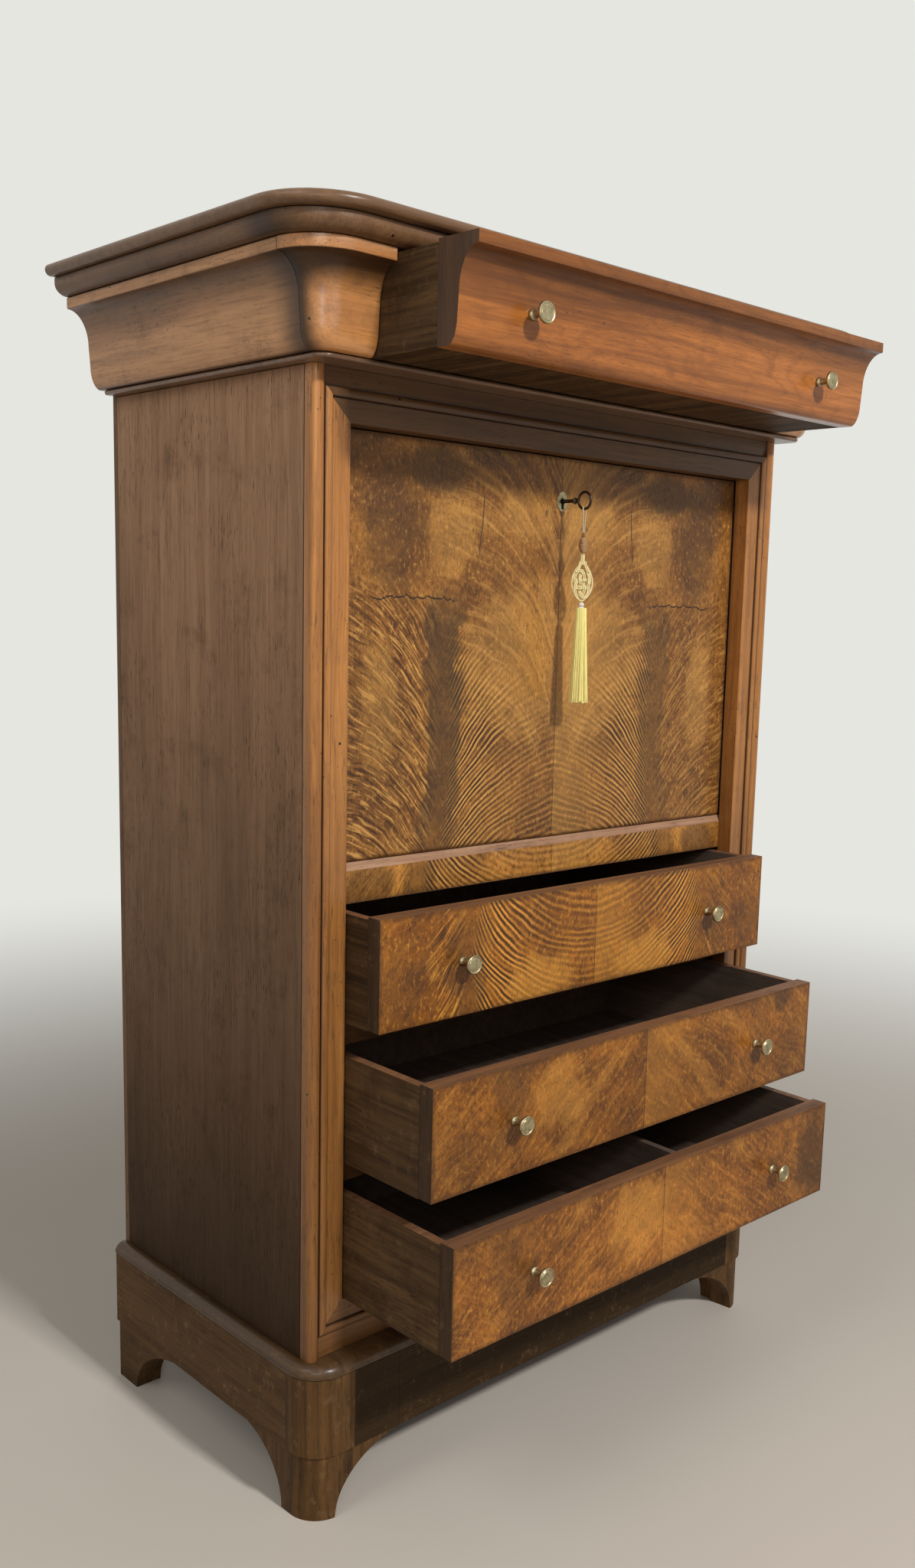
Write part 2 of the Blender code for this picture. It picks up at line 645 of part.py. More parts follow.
def build_drawer(name, floor, pull):
    """One of the drawers under the fall: veneered front, tray and two knobs."""
    front = Front(RAIL_FRONT, RAIL_FRONT + FRONT_THICK, pull)
    half_width = OPENING - FRONT_GAP
    low = floor + FRONT_GAP
    high = floor + DRAWER_OPENING - FRONT_GAP
    slide = empty(f"{name}_slide", (0, front.face, floor), ROOT)
    box(f"{name}_front", (-half_width, front.face, low), (half_width, front.back, high), slide,
        "flame veneer", EDGE_EASE)
    build_tray(f"{name}_tray", half_width, front, floor + SEAT, high - TRAY_DROP, slide)
    for side in (-1, 1):
        place = (side * (half_width - KNOB_INSET), front.face - SEAT, (low + high) / 2)
        build_knob(f"{name}_knob_{side_name(side)}", place, slide)


def build_cornice_drawer():
    """Drawer hidden in the cornice, with the ogee cut on its front."""
    front = Front(CORNICE_BASE - CYMA_LIP_OUT, CORNICE_BASE, CORNICE_PULL)
    half_width = BLOCK_INNER - FRONT_GAP
    low = CORNICE_LOW + SEAT
    high = CORNICE_TOP - FRONT_GAP
    slide = empty("cornice_drawer_slide", (0, front.face, low), ROOT)
    face = [(front.back - out, min(max(CORNICE_LOW + rise, low), high)) for out, rise in cyma_profile()]
    section = [(front.back, low), *face, (front.back, high)]
    smooth(prism("cornice_drawer_front", section, "X", -half_width, half_width, slide, "cornice walnut"))
    build_tray("cornice_drawer_tray", half_width, front, low, high - TRAY_DROP, slide)
    seat = front.back - CYMA_FOOT_OUT - CYMA_BELLY - CYMA_WAIST_LEAN - 2 * SEAT
    for side in (-1, 1):
        place = (side * (half_width - CORNICE_KNOB_INSET), seat, CORNICE_LOW + CORNICE_KNOB_RISE - KNOB_COLLAR)
        build_knob(f"cornice_drawer_knob_{side_name(side)}", place, slide)


def build_fall():
    """Fall front, the levers it turns on, its lock, bolt, escutcheon and key."""
    pivot = empty("fall_pivot", PIVOT, ROOT)
    half_width = OPENING - FALL_GAP
    lower_edge = arc((PIVOT.y, PIVOT.z), (FALL_ROUND, FALL_ROUND), 180, 270)
    section = [(FALL_FRONT, FALL_HIGH), *lower_edge, (FALL_BACK, FALL_LOW), (FALL_BACK, FALL_HIGH)]
    fall = prism("fall_front", section, "X", -half_width, half_width, pivot, "flame veneer")
    hole = rod("fall_key_hole", KEY_AXIS - Vector((0, FALL_THICK, 0)),
               KEY_AXIS + Vector((0, 2 * FALL_THICK, 0)), KEY_HOLE, pivot)
    combine(fall, hole, 'DIFFERENCE')
    for side in (-1, 1):
        build_lever(side, half_width, fall, pivot)
    build_lock(pivot)
    key = empty("key_axis", KEY_AXIS, pivot)
    build_key(key)
    build_tassel(key)


def build_lever(side, half_width, fall, pivot):
    """Iron lever on an end of the fall: its pin enters the fall, its tail runs back beside the case."""
    name = f"fall_lever_{side_name(side)}"
    eye = PIVOT + Vector((side * (half_width - LEVER_PIN_DEPTH), 0, 0))
    bore = rod(f"{name}_bore", eye, eye + Vector((side * 2 * LEVER_PIN_DEPTH, 0, 0)),
               LEVER_PIN_RADIUS + SEAT, pivot)
    combine(fall, bore, 'DIFFERENCE')
    near = OPENING + LEVER_OFFSET
    above = PIVOT.y - FRAME_DEPTH - SEAT
    low, high = sorted((side * near, side * (near + LEVER_THICK)))
    arm = box(name, (low, PIVOT.y - LEVER_BELOW, PIVOT.z - LEVER_BELOW),
              (high, PIVOT.y + LEVER_LENGTH, PIVOT.z + above), pivot, "iron")
    pin_start = eye + Vector((side * SEAT, 0, 0))
    pin_end = PIVOT + Vector((side * (near + LEVER_THICK / 2), 0, 0))
    pin = rod(f"{name}_pin", pin_start, pin_end, LEVER_PIN_RADIUS, pivot)
    combine(arm, pin, 'UNION')


def build_lock(pivot):
    """Lock case open towards the fall, its sliding bolt and the plate round the keyhole."""
    face = FALL_BACK + SEAT
    low = KEY_HEIGHT - LOCK_HEIGHT / 2
    high = KEY_HEIGHT + LOCK_HEIGHT / 2
    width = LOCK_WIDTH / 2
    case = box("lock_case", (-width, face, low), (width, face + LOCK_DEPTH, high), pivot, "iron")
    cavity = box("lock_cavity", (LOCK_WALL - width, face - LOCK_WALL, low + LOCK_WALL),
                 (width - LOCK_WALL, face + LOCK_DEPTH - LOCK_WALL, high - LOCK_WALL), pivot)
    combine(case, cavity, 'DIFFERENCE')
    bolt_back = face + LOCK_DEPTH - LOCK_WALL - SEAT
    bolt_low = Vector((-BOLT_WIDTH / 2, bolt_back - BOLT_DEPTH, KEY_HEIGHT + BOLT_FOOT_RISE))
    bolt_high = Vector((BOLT_WIDTH / 2, bolt_back, FALL_HIGH - BOLT_BELOW_TOP))
    margin = Vector((SEAT, SEAT, 0))
    slot = box("lock_bolt_slot", bolt_low - margin, bolt_high + margin, pivot)
    combine(case, slot, 'DIFFERENCE')
    box("lock_bolt", bolt_low, bolt_high, pivot, "iron")
    radii = (ESCUTCHEON_WIDTH / 2, ESCUTCHEON_HEIGHT / 2)
    plate_back = FALL_FRONT - SEAT
    oval = arc((0, KEY_HEIGHT), radii, 0, 360, TURN_STEPS)[:-1]
    plate = prism("escutcheon", oval, "Y", plate_back - ESCUTCHEON_THICK, plate_back, pivot, "brass")
    hole = rod("escutcheon_hole", KEY_AXIS - Vector((0, FALL_THICK, 0)), KEY_AXIS, KEY_HOLE, pivot)
    combine(plate, hole, 'DIFFERENCE')


def build_key(parent):
    """Iron key: ring bow, collar, shank and bit, turning about its shank."""
    ring_front = BOW_CENTRE + Vector((0, BOW_RADIUS - BOW_WIRE / 2, 0))
    tip = FALL_BACK + SEAT + LOCK_DEPTH - LOCK_WALL - 2 * SEAT
    key = rod("key", ring_front, (0, tip, KEY_HEIGHT), KEY_SHANK, parent, "iron")
    collar_at = BOW_CENTRE + Vector((0, BOW_RADIUS + 3 * BOW_WIRE, 0))
    collar = rod("key_collar", collar_at, collar_at + Vector((0, 2 * BOW_WIRE, 0)), KEY_COLLAR, parent)
    combine(key, collar, 'UNION')
    bpy.ops.mesh.primitive_torus_add(major_radius=BOW_RADIUS, minor_radius=BOW_WIRE, major_segments=20,
                                     minor_segments=8)
    torus = bpy.context.object
    bow_mesh = torus.data
    bpy.data.objects.remove(torus, do_unlink=True)
    bow = add("key_bow", bow_mesh, BOW_CENTRE, parent, turn=(0, math.pi / 2, 0))
    combine(key, bow, 'UNION')
    bit_front = FALL_BACK + 2 * SEAT
    bit = box("key_bit", (-KEY_BIT_THICK / 2, bit_front, KEY_HEIGHT - KEY_BIT_REACH),
              (KEY_BIT_THICK / 2, tip - SEAT, KEY_HEIGHT), parent)
    combine(key, bit, 'UNION')


def build_tassel(key):
    """Cord loop through the bow, with a bead that turns under it on a round tip, a knot and a skirt."""
    loop_pivot = empty("tassel_loop_pivot", LOOP_PIVOT, key)
    spread = BOW_WIRE + SEAT + CORD_RADIUS
    crown = arc((LOOP_PIVOT.x, LOOP_PIVOT.z), (spread, spread), 180, 0, 8)
    foot = TASSEL_PIVOT.z + BEAD_TIP + SEAT
    shoulder = (foot + LOOP_PIVOT.z) / 2
    route = [(-LOOP_FOOT, foot), (-spread, shoulder), *crown, (spread, shoulder), (LOOP_FOOT, foot)]
    curve = bpy.data.curves.new("tassel_loop", 'CURVE')
    curve.dimensions = '3D'
    curve.bevel_depth = CORD_RADIUS
    curve.bevel_resolution = 1
    curve.use_fill_caps = True
    spline = curve.splines.new('POLY')
    spline.points.add(len(route) - 1)
    for target, (x, z) in zip(spline.points, route):
        target.co = (x, 0, z - LOOP_PIVOT.z, 1)
    curve_obj = bpy.data.objects.new("tassel_loop_route", curve)
    CUTTERS.objects.link(curve_obj)
    add("tassel_loop", as_mesh(curve_obj, "tassel_loop"), LOOP_PIVOT, loop_pivot, "silk")
    pivot = empty("tassel_pivot", TASSEL_PIVOT, loop_pivot)
    bead_low = TASSEL_PIVOT.z + BEAD_TIP - BEAD_HEIGHT
    tip = arc((0, BEAD_HEIGHT - BEAD_TIP), (BEAD_TIP, BEAD_TIP), 90, -40)
    neck, neck_height = tip[-1]
    body = arc((neck, neck_height / 2), (BEAD_RADIUS - neck, neck_height / 2), 90, -90, 8)
    bead = [*tip, *body[1:], (0, 0)]
    turned("tassel_bead", bead, (0, TASSEL_PIVOT.y, bead_low), pivot, "turned wood")
    bm = bmesh.new()
    bmesh.ops.create_uvsphere(bm, u_segments=16, v_segments=10, radius=0.5)
    knot_height = KNOT_HEIGHT - 2 * SEAT
    bmesh.ops.scale(bm, vec=(KNOT_WIDTH, KNOT_THICK, knot_height), verts=bm.verts)
    knot_middle = bead_low - KNOT_HEIGHT / 2
    smooth(add("tassel_knot", mesh_from(bm, "tassel_knot"), (0, TASSEL_PIVOT.y, knot_middle), pivot, "silk"))
    skirt_top = bead_low - KNOT_HEIGHT
    shoulder = SKIRT_HEIGHT - COLLAR_HEIGHT
    skirt = [(0, SKIRT_HEIGHT), (COLLAR_RADIUS, SKIRT_HEIGHT), (COLLAR_RADIUS, shoulder),
             (SKIRT_TOP_RADIUS, shoulder - COLLAR_HEIGHT), (SKIRT_RADIUS, 0), (0, 0)]
    turned("tassel_skirt", skirt, (0, TASSEL_PIVOT.y, skirt_top - SKIRT_HEIGHT), pivot, "silk")


def build_nest():
    """Shelf on three uprights at the back of the writing compartment, with two small drawers under it."""
    front = FALL_BACK + NEST_SETBACK
    low = WRITING_LEVEL + SEAT
    shelf_low = low + NEST_DRAWER_HEIGHT + FRONT_GAP
    shelf_high = shelf_low + NEST_SHELF
    reach = INNER - SEAT
    post = NEST_SHELF / 2
    cheek = OPENING + LEVER_OFFSET - FRONT_GAP
    section = [(-reach, low), (-cheek, low), (-cheek, shelf_low), (-post, shelf_low), (-post, low),
               (post, low), (post, shelf_low), (cheek, shelf_low), (cheek, low), (reach, low),
               (reach, shelf_high), (-reach, shelf_high)]
    prism("nest_shelf", section, "Y", front, BACK_INNER - SEAT, ROOT, "drawer oak")
    for side in (-1, 1):
        name = f"small_drawer_{side_name(side)}"
        near, far = side * (post + FRONT_GAP), side * (cheek - FRONT_GAP)
        left, right = sorted((near, far))
        slide = empty(f"{name}_slide", ((left + right) / 2, front, low), ROOT)
        drawer = box(name, (left, front, low), (right, TRAY_END, low + NEST_DRAWER_HEIGHT - FRONT_GAP),
                     slide, "drawer oak")
        inside = box(f"{name}_inside", (left + NEST_WALL, front + NEST_FRONT_THICK, low + NEST_WALL),
                     (right - NEST_WALL, TRAY_END - NEST_WALL, shelf_high), slide)
        combine(drawer, inside, 'DIFFERENCE')
        grip = low + NEST_DRAWER_HEIGHT / 2
        knob = rod(f"{name}_grip", ((left + right) / 2, front - KNOB_RADIUS, grip),
                   ((left + right) / 2, front + NEST_FRONT_THICK / 2, grip), KNOB_COLLAR, slide)
        combine(drawer, knob, 'UNION')


clear_scene()
PARTS = new_collection("secretaire")
CUTTERS = new_collection("secretaire cutters")
ROOT = bpy.data.objects.new("secretaire_origin", None)
PARTS.objects.link(ROOT)
ROOT["place"] = [0.0, 0.0, 0.0]
ROOT.location = (0, -MIDDLE_Y, 0)
build_case()
build_cornice()
build_plinth()
build_cornice_drawer()
build_drawer("upper_drawer", UPPER_FLOOR, UPPER_PULL)
build_drawer("middle_drawer", MIDDLE_FLOOR, MIDDLE_PULL)
build_drawer("lower_drawer", LOWER_FLOOR, LOWER_PULL)
build_fall()
build_nest()
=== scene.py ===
"""Dress a walnut fall-front secretaire: figured veneers, turned brass, an iron key and a silk tassel."""
from __future__ import annotations

import json
import logging
import math
from abc import ABC, abstractmethod
from dataclasses import dataclass
from enum import Enum
from typing import Callable, NamedTuple, Sequence, Union

import bmesh
import bpy
from bpy.types import ID, Material, Mesh, Node, NodeSocket, NodeTree, Object
from mathutils import Matrix, Vector

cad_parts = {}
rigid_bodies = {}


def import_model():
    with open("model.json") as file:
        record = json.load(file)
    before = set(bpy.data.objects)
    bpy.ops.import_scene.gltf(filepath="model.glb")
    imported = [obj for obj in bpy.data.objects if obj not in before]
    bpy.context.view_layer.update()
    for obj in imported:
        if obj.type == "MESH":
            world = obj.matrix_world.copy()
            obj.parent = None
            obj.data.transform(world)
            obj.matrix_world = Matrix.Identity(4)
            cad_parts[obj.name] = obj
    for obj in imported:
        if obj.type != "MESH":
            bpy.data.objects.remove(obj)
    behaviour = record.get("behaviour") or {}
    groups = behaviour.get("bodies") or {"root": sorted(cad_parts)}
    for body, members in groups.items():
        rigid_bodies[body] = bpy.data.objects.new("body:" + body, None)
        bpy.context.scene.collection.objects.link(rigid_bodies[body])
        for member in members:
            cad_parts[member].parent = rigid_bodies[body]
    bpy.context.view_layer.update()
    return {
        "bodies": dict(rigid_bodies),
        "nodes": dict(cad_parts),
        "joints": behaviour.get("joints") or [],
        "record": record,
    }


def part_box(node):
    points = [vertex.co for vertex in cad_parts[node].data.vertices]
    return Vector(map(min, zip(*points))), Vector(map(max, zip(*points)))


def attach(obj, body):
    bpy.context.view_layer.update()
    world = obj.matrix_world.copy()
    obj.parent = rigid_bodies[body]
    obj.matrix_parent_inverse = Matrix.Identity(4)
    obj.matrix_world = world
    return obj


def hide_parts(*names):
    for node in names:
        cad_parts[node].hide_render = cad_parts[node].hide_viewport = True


LOG = logging.getLogger("secretaire")
Point = tuple[float, float]
Place = tuple[float, float, float]
Colour = tuple[float, float, float, float]


def srgb(red: float, green: float, blue: float) -> Colour:
    """Give the linear colour of a screen colour.

    Args:
        red: Red from 0 to 255.
        green: Green from 0 to 255.
        blue: Blue from 0 to 255.

    Returns:
        The linear red, green, blue and an opacity of one.
    """
    def linear(value: float) -> float:
        """Undo the screen curve of one channel."""
        share = value / 255
        return share / 12.92 if share <= 0.04045 else ((share + 0.055) / 1.055) ** 2.4

    return (linear(red), linear(green), linear(blue), 1.0)


class Wire:
    """A socket of a node tree on which arithmetic can be written."""

    def __init__(self, graph: "Graph", socket: NodeSocket) -> None:
        """Keep the tree and the socket."""
        self.graph = graph
        self.socket = socket

    def __add__(self, other: "Number") -> "Wire":
        """Add."""
        return self.graph.math("ADD", self, other)

    __radd__ = __add__

    def __sub__(self, other: "Number") -> "Wire":
        """Take away."""
        return self.graph.math("SUBTRACT", self, other)

    def __rsub__(self, other: "Number") -> "Wire":
        """Take away, reflected."""
        return self.graph.math("SUBTRACT", other, self)

    def __mul__(self, other: "Number") -> "Wire":
        """Multiply."""
        return self.graph.math("MULTIPLY", self, other)

    __rmul__ = __mul__

    def __truediv__(self, other: "Number") -> "Wire":
        """Divide."""
        return self.graph.math("DIVIDE", self, other)

    def __rtruediv__(self, other: "Number") -> "Wire":
        """Divide, reflected."""
        return self.graph.math("DIVIDE", other, self)

    def __abs__(self) -> "Wire":
        """Drop the sign."""
        return self.graph.math("ABSOLUTE", self)

    def __neg__(self) -> "Wire":
        """Turn the sign."""
        return self.graph.math("MULTIPLY", self, -1.0)


Number = Union[Wire, float, int]
Paintable = Union[Wire, Colour]
Three = tuple[Wire, Wire, Wire]
Settings = dict[str, object]
Sockets = dict[Union[int, str], object]


class Graph:
    """A node tree that is written as expressions."""

    def __init__(self, tree: NodeTree) -> None:
        """Keep the tree and empty it."""
        self.tree = tree
        tree.nodes.clear()

    def feed(self, node: Node, sockets: Sockets) -> None:
        """Set or link inputs of a node.

        Args:
            node: The node.
            sockets: Values or wires, by the name or index of the input.
        """
        for key, value in sockets.items():
            if isinstance(value, Wire):
                self.tree.links.new(value.socket, node.inputs[key])
            else:
                node.inputs[key].default_value = value

    def add(self, kind: str, settings: Settings | None = None, sockets: Sockets | None = None) -> Node:
        """Add a node.

        Args:
            kind: The node's type.
            settings: Properties that are set first.
            sockets: Values or wires for its inputs.

        Returns:
            The node.
        """
        made = self.tree.nodes.new(kind)
        for key, value in (settings or {}).items():
            setattr(made, key, value)
        self.feed(made, sockets or {})
        return made

    def node(self, kind: str, settings: Settings | None = None, sockets: Sockets | None = None,
             output: int | str = 0) -> Wire:
        """Add a node and take a wire from one of its outputs."""
        return Wire(self, self.add(kind, settings, sockets).outputs[output])

    def math(self, operation: str, *values: Number) -> Wire:
        """Add a Math node on one to three values."""
        return self.node("ShaderNodeMath", {"operation": operation}, dict(enumerate(values)))

    def vector(self, x: Number, y: Number, z: Number) -> Wire:
        """Join three values into a vector."""
        return self.node("ShaderNodeCombineXYZ", None, {"X": x, "Y": y, "Z": z})

    def split(self, vector: Wire) -> Three:
        """Take a vector apart into its three values."""
        outputs = self.add("ShaderNodeSeparateXYZ", None, {"Vector": vector}).outputs
        return Wire(self, outputs[0]), Wire(self, outputs[1]), Wire(self, outputs[2])


class Paint(Graph):
    """The node tree of one material."""

    def __init__(self, name: str) -> None:
        """Make the material, its Principled shader and its output.

        Args:
            name: The material's name.
        """
        self.material = bpy.data.materials.new(name)
        self.material.use_nodes = True
        super().__init__(self.material.node_tree)
        self.shader = self.add("ShaderNodeBsdfPrincipled")
        self.output = self.add("ShaderNodeOutputMaterial", None, {"Surface": Wire(self, self.shader.outputs[0])})

    def place(self) -> Three:
        """Give the object's own coordinates in metres."""
        return self.split(self.node("ShaderNodeTexCoord", None, None, "Object"))

    def noise(self, x: Number, y: Number, z: Number, detail: float = 2.0, rough: float = 0.5,
              twist: float = 0.0) -> Wire:
        """Give cloudy noise from about 0.2 to 0.8 at a place that is counted in clouds."""
        return self.node("ShaderNodeTexNoise", {"noise_dimensions": "3D"}, {
            "Vector": self.vector(x, y, z), "Scale": 1.0, "Detail": detail, "Roughness": rough,
            "Distortion": twist}, "Fac")

    def specks(self, x: Number, y: Number, z: Number, scale: float) -> Wire:
        """Give the distance to the nearest of scattered points, in cells."""
        return self.node("ShaderNodeTexVoronoi", {"feature": "F1"},
                         {"Vector": self.vector(x, y, z), "Scale": scale}, "Distance")

    def step(self, value: Number, low: float, high: float) -> Wire:
        """Rise smoothly from 0 at low to 1 at high."""
        return self.node("ShaderNodeMapRange", {"interpolation_type": "SMOOTHSTEP"},
                         {"Value": value, "From Min": low, "From Max": high})

    def mix(self, share: Number, first: Paintable, second: Paintable) -> Wire:
        """Lay a share of the second colour over the first."""
        return self.node("ShaderNodeMix", {"data_type": "RGBA", "blend_type": "MIX", "clamp_factor": True},
                         {0: share, 6: first, 7: second}, 2)

    def finish(self, colour: Paintable, rough: Number, height: Wire | None = None, depth: float = 0.0005,
               metallic: float = 0.0, coat: Number = 0.0, gloss: float = 0.28,
               blur: float = 0.25) -> Material:
        """Join colour, roughness and relief to the shader.

        Args:
            colour: Base colour.
            rough: Roughness.
            height: Relief from 0 to 1, if any.
            depth: Depth of the relief in metres.
            metallic: One for metal.
            coat: Weight of a clear polish.
            gloss: Strength of the surface's own reflection.
            blur: Roughness of the clear polish.

        Returns:
            The finished material.
        """
        self.feed(self.shader, {"Base Color": colour, "Roughness": rough, "Metallic": metallic,
                                "Coat Weight": coat, "Coat Roughness": blur, "Specular IOR Level": gloss})
        if height is not None:
            self.feed(self.shader, {"Normal": self.node("ShaderNodeBump", None, {
                "Strength": 1.0, "Distance": depth, "Height": height})})
        return self.material


class Grain(Enum):
    """An axis: the way the grain of a board runs."""

    ACROSS = "x"
    BACK = "y"
    UP = "z"


class Side(Enum):
    """A side of the secretaire, seen from the front."""

    LEFT = -1
    RIGHT = 1

    @property
    def word(self) -> str:
        """Give the side's word in names."""
        return self.name.lower()


class Fade(NamedTuple):
    """Painted shade between two heights: where it is whole, where it ends, and its strength."""

    dark: float
    clear: float
    most: float


class Smear(NamedTuple):
    """Painted shade beside a joint: its place from front to back, its reach and its strength."""

    place: float
    reach: float
    most: float


@dataclass(frozen=True)
class Finish(ABC):
    """A finish that can make its material."""

    name: str

    @abstractmethod
    def make(self) -> Material:
        """Build the material and give it."""


@dataclass(frozen=True)
class PlainWalnut(Finish):
    """Straight-grained walnut with flecks, streaks, a worn polish and, where asked, painted shade."""

    light: Colour
    dark: Colour
    grain: Grain
    fleck: float = 0.5
    streak: float = 0.5
    grime: float = 0.3
    rough: float = 0.42
    coat: float = 0.0
    seed: float = 0.0
    holes: float = 0.0
    grooves: tuple[float, ...] = ()
    groove_across: Grain = Grain.ACROSS
    groove_wide: float = 0.002
    # Painted shade, darker towards one height.
    dim: Fade | None = None
    # Painted shade beside a joint.
    smear: Smear | None = None
    # A band, such as a lit lip, that is spared the painted shade.
    clean: Point | None = None
    fine: float = 1.0
    curl: float = 0.0
    dust: float = 0.0
    gloss: float = 0.28
    blur: float = 0.25
    deep: Colour = srgb(46, 30, 20)
    hole: Colour = srgb(24, 16, 11)
    speck: Colour = srgb(34, 22, 14)
    scuffed: Colour = srgb(136, 108, 76)

    def make(self) -> Material:
        """Build the material: grain first, then pores, dirt and wear, then painted shade.

        Returns:
            The material.
        """
        paint = Paint(self.name)
        place = x, y, z = paint.place()
        along, first, second = {Grain.ACROSS: (x, y, z), Grain.BACK: (y, x, z), Grain.UP: (z, x, y)}[self.grain]
        wander = paint.noise(along * 2.2, first * 5.0, second * 5.0 + self.seed) - 0.5
        side, other = first + wander * 0.03, second + wander * 0.022
        fibre = paint.noise(along * 12.0, side * 330.0, other * 330.0 + self.seed, 3.0, 0.65)
        band = paint.noise(along * 1.8, side * 75.0, other * 75.0 + self.seed, 4.0, 0.65)
        cloud = paint.noise(along * 3.0, first * 6.0, second * 6.0 + self.seed, 3.0)
        fine = 460.0 * self.fine
        dash = paint.noise(along * (42.0 * self.fine), side * fine, other * fine - self.seed)
        streaks = paint.step(band, 0.30, 0.70) * self.streak + paint.step(cloud, 0.35, 0.70) * 0.30
        colour = paint.mix(streaks, self.light, self.dark)
        colour = paint.mix(paint.step(fibre, 0.46, 0.72) * 0.55, colour, self.dark)
        patchy = paint.step(paint.noise(x * 8.0, y * 8.0, z * 8.0 - self.seed, 3.0), 0.40, 0.64)
        pores = paint.step(dash, 0.58, 0.68) * self.fleck * (0.3 + patchy * 0.7)
        colour = paint.mix(pores, colour, self.deep)
        dirt = paint.step(paint.noise(x * 15.0, y * 15.0, z * 15.0 + self.seed, 6.0, 0.7), 0.50, 0.78)
        colour = paint.mix(dirt * self.grime, colour, self.deep)
        if self.curl:
            swell = paint.noise(x * 3.2, y * 10.0, z * 14.0 + self.seed, 1.5)
            lines = paint.math("SINE", swell * 90.0 + fibre * 2.0)
            colour = paint.mix(paint.step(lines, 0.30, 1.0) * self.curl, colour, self.dark)
        colour = self._wear(paint, place, patchy, colour)
        colour, polish = self._soil(paint, place, wander, colour)
        rough = self.rough + pores * 0.15 + dirt * 0.12 + (fibre - 0.5) * 0.12
        return paint.finish(colour, rough, fibre * 0.5 - pores, 0.00025, 0.0, polish, self.gloss, self.blur)

    def _wear(self, paint: Paint, place: Three, patchy: Wire, colour: Wire) -> Wire:
        """Add worm holes, pale scuffs and the dark bottoms of grooves.

        Args:
            paint: The material's tree.
            place: The object's coordinates.
            patchy: Where the small specks gather.
            colour: The colour so far.

        Returns:
            The worn colour.
        """
        x, y, z = place
        if self.holes:
            cell = paint.specks(x + self.seed, y, z, 42.0)
            rare = paint.step(paint.noise(x * 11.0, y * 11.0, z * 11.0 - self.seed, 1.0), 0.52, 0.58)
            colour = paint.mix((1.0 - paint.step(cell, 0.050, 0.095)) * rare * self.holes, colour, self.hole)
            tiny = paint.specks(x, y + self.seed, z, 120.0)
            colour = paint.mix((1.0 - paint.step(tiny, 0.08, 0.15)) * patchy * self.holes * 0.8, colour, self.speck)
        if self.dust:
            scuff = paint.noise(x * 70.0, y * 70.0, z * 55.0 + self.seed, 6.0, 0.78)
            colour = paint.mix(paint.step(scuff, 0.54, 0.70) * self.dust, colour, self.scuffed)
        line = {Grain.ACROSS: abs(x), Grain.BACK: y, Grain.UP: z}[self.groove_across]
        for groove in self.grooves:
            near = 1.0 - paint.step(abs(line - groove), 0.0002, self.groove_wide)
            colour = paint.mix(near * 0.80, colour, self.deep)
        return colour

    def _soil(self, paint: Paint, place: Three, wander: Wire, colour: Wire) -> tuple[Wire, Number]:
        """Paint shade beside a joint and towards one height, and dull the polish there.

        Args:
            paint: The material's tree.
            place: The object's coordinates.
            wander: Slow waviness.
            colour: The colour so far.

        Returns:
            The shaded colour and the weight of the polish.
        """
        _, y, z = place
        polish: Number = self.coat
        on_lit_band: Number = 0.0
        edge = 0.0008
        # The lit band is spared the painted shade.
        if self.clean is not None:
            foot, head = self.clean
            on_lit_band = paint.step(z, foot - edge, foot + edge) - paint.step(z, head - edge, head + edge)
        shades: list[Wire] = []
        # Painted shade beside a joint.
        if self.smear is not None:
            soft = 1.0 - paint.step(abs(y - self.smear.place + wander * 0.03), 0.001, self.smear.reach)
            shades.append(soft * self.smear.most * (1.0 - on_lit_band * 0.75))
        # Painted shade, darker towards one height.
        if self.dim is not None:
            soft = 1.0 - paint.step(z + wander * 0.1, self.dim.dark, self.dim.clear)
            shades.append(soft * self.dim.most * (1.0 - on_lit_band))
        for shade in shades:
            colour = paint.mix(shade, colour, self.deep)
            if self.coat:
                polish = polish * (1.0 - shade)
        return colour, polish


@dataclass(frozen=True)
class Blot:
    """A cloud in the figure, on both halves or on one."""

    across: float
    up: float
    wide: float
    tall: float
    shade: float
    side: Side | None = None


@dataclass(frozen=True)
class FlameVeneer(Finish):
    """Book-matched flame figure, mirrored at a seam on the middle line."""

    low: Place
    high: Place
    from_top: bool = False
    spine: float = 0.195
    band: float = 0.024
    patch: float = 0.9
    reach: float = 0.170
    curl: float = 0.100
    pitch: float = 720.0
    ripple: float = 1.0
    ripple_top: float = 0.28
    ripple_drop: float = 0.55
    plume: float = 0.7
    feather: float = 1.0
    fringe: float = 1.0
    swirl: float = 0.0
    crack: float = 0.0
    blots: tuple[Blot, ...] = ()
    seed: float = 0.0
    golden: Colour = srgb(162, 108, 48)
    brown: Colour = srgb(114, 70, 29)
    line: Colour = srgb(60, 32, 9)
    gleam: Colour = srgb(216, 162, 86)
    grey: Colour = srgb(58, 41, 24)
    pore: Colour = srgb(58, 34, 15)
    glue: Colour = srgb(62, 38, 19)
    cleft: Colour = srgb(36, 22, 13)
    handled: Colour = srgb(66, 42, 22)
    inside_light: Colour = srgb(152, 106, 66)
    inside_dark: Colour = srgb(104, 66, 39)
    inside_fibre: Colour = srgb(66, 42, 26)

    def make(self) -> Material:
        """Build the material."""
        return Flame(self).dress()


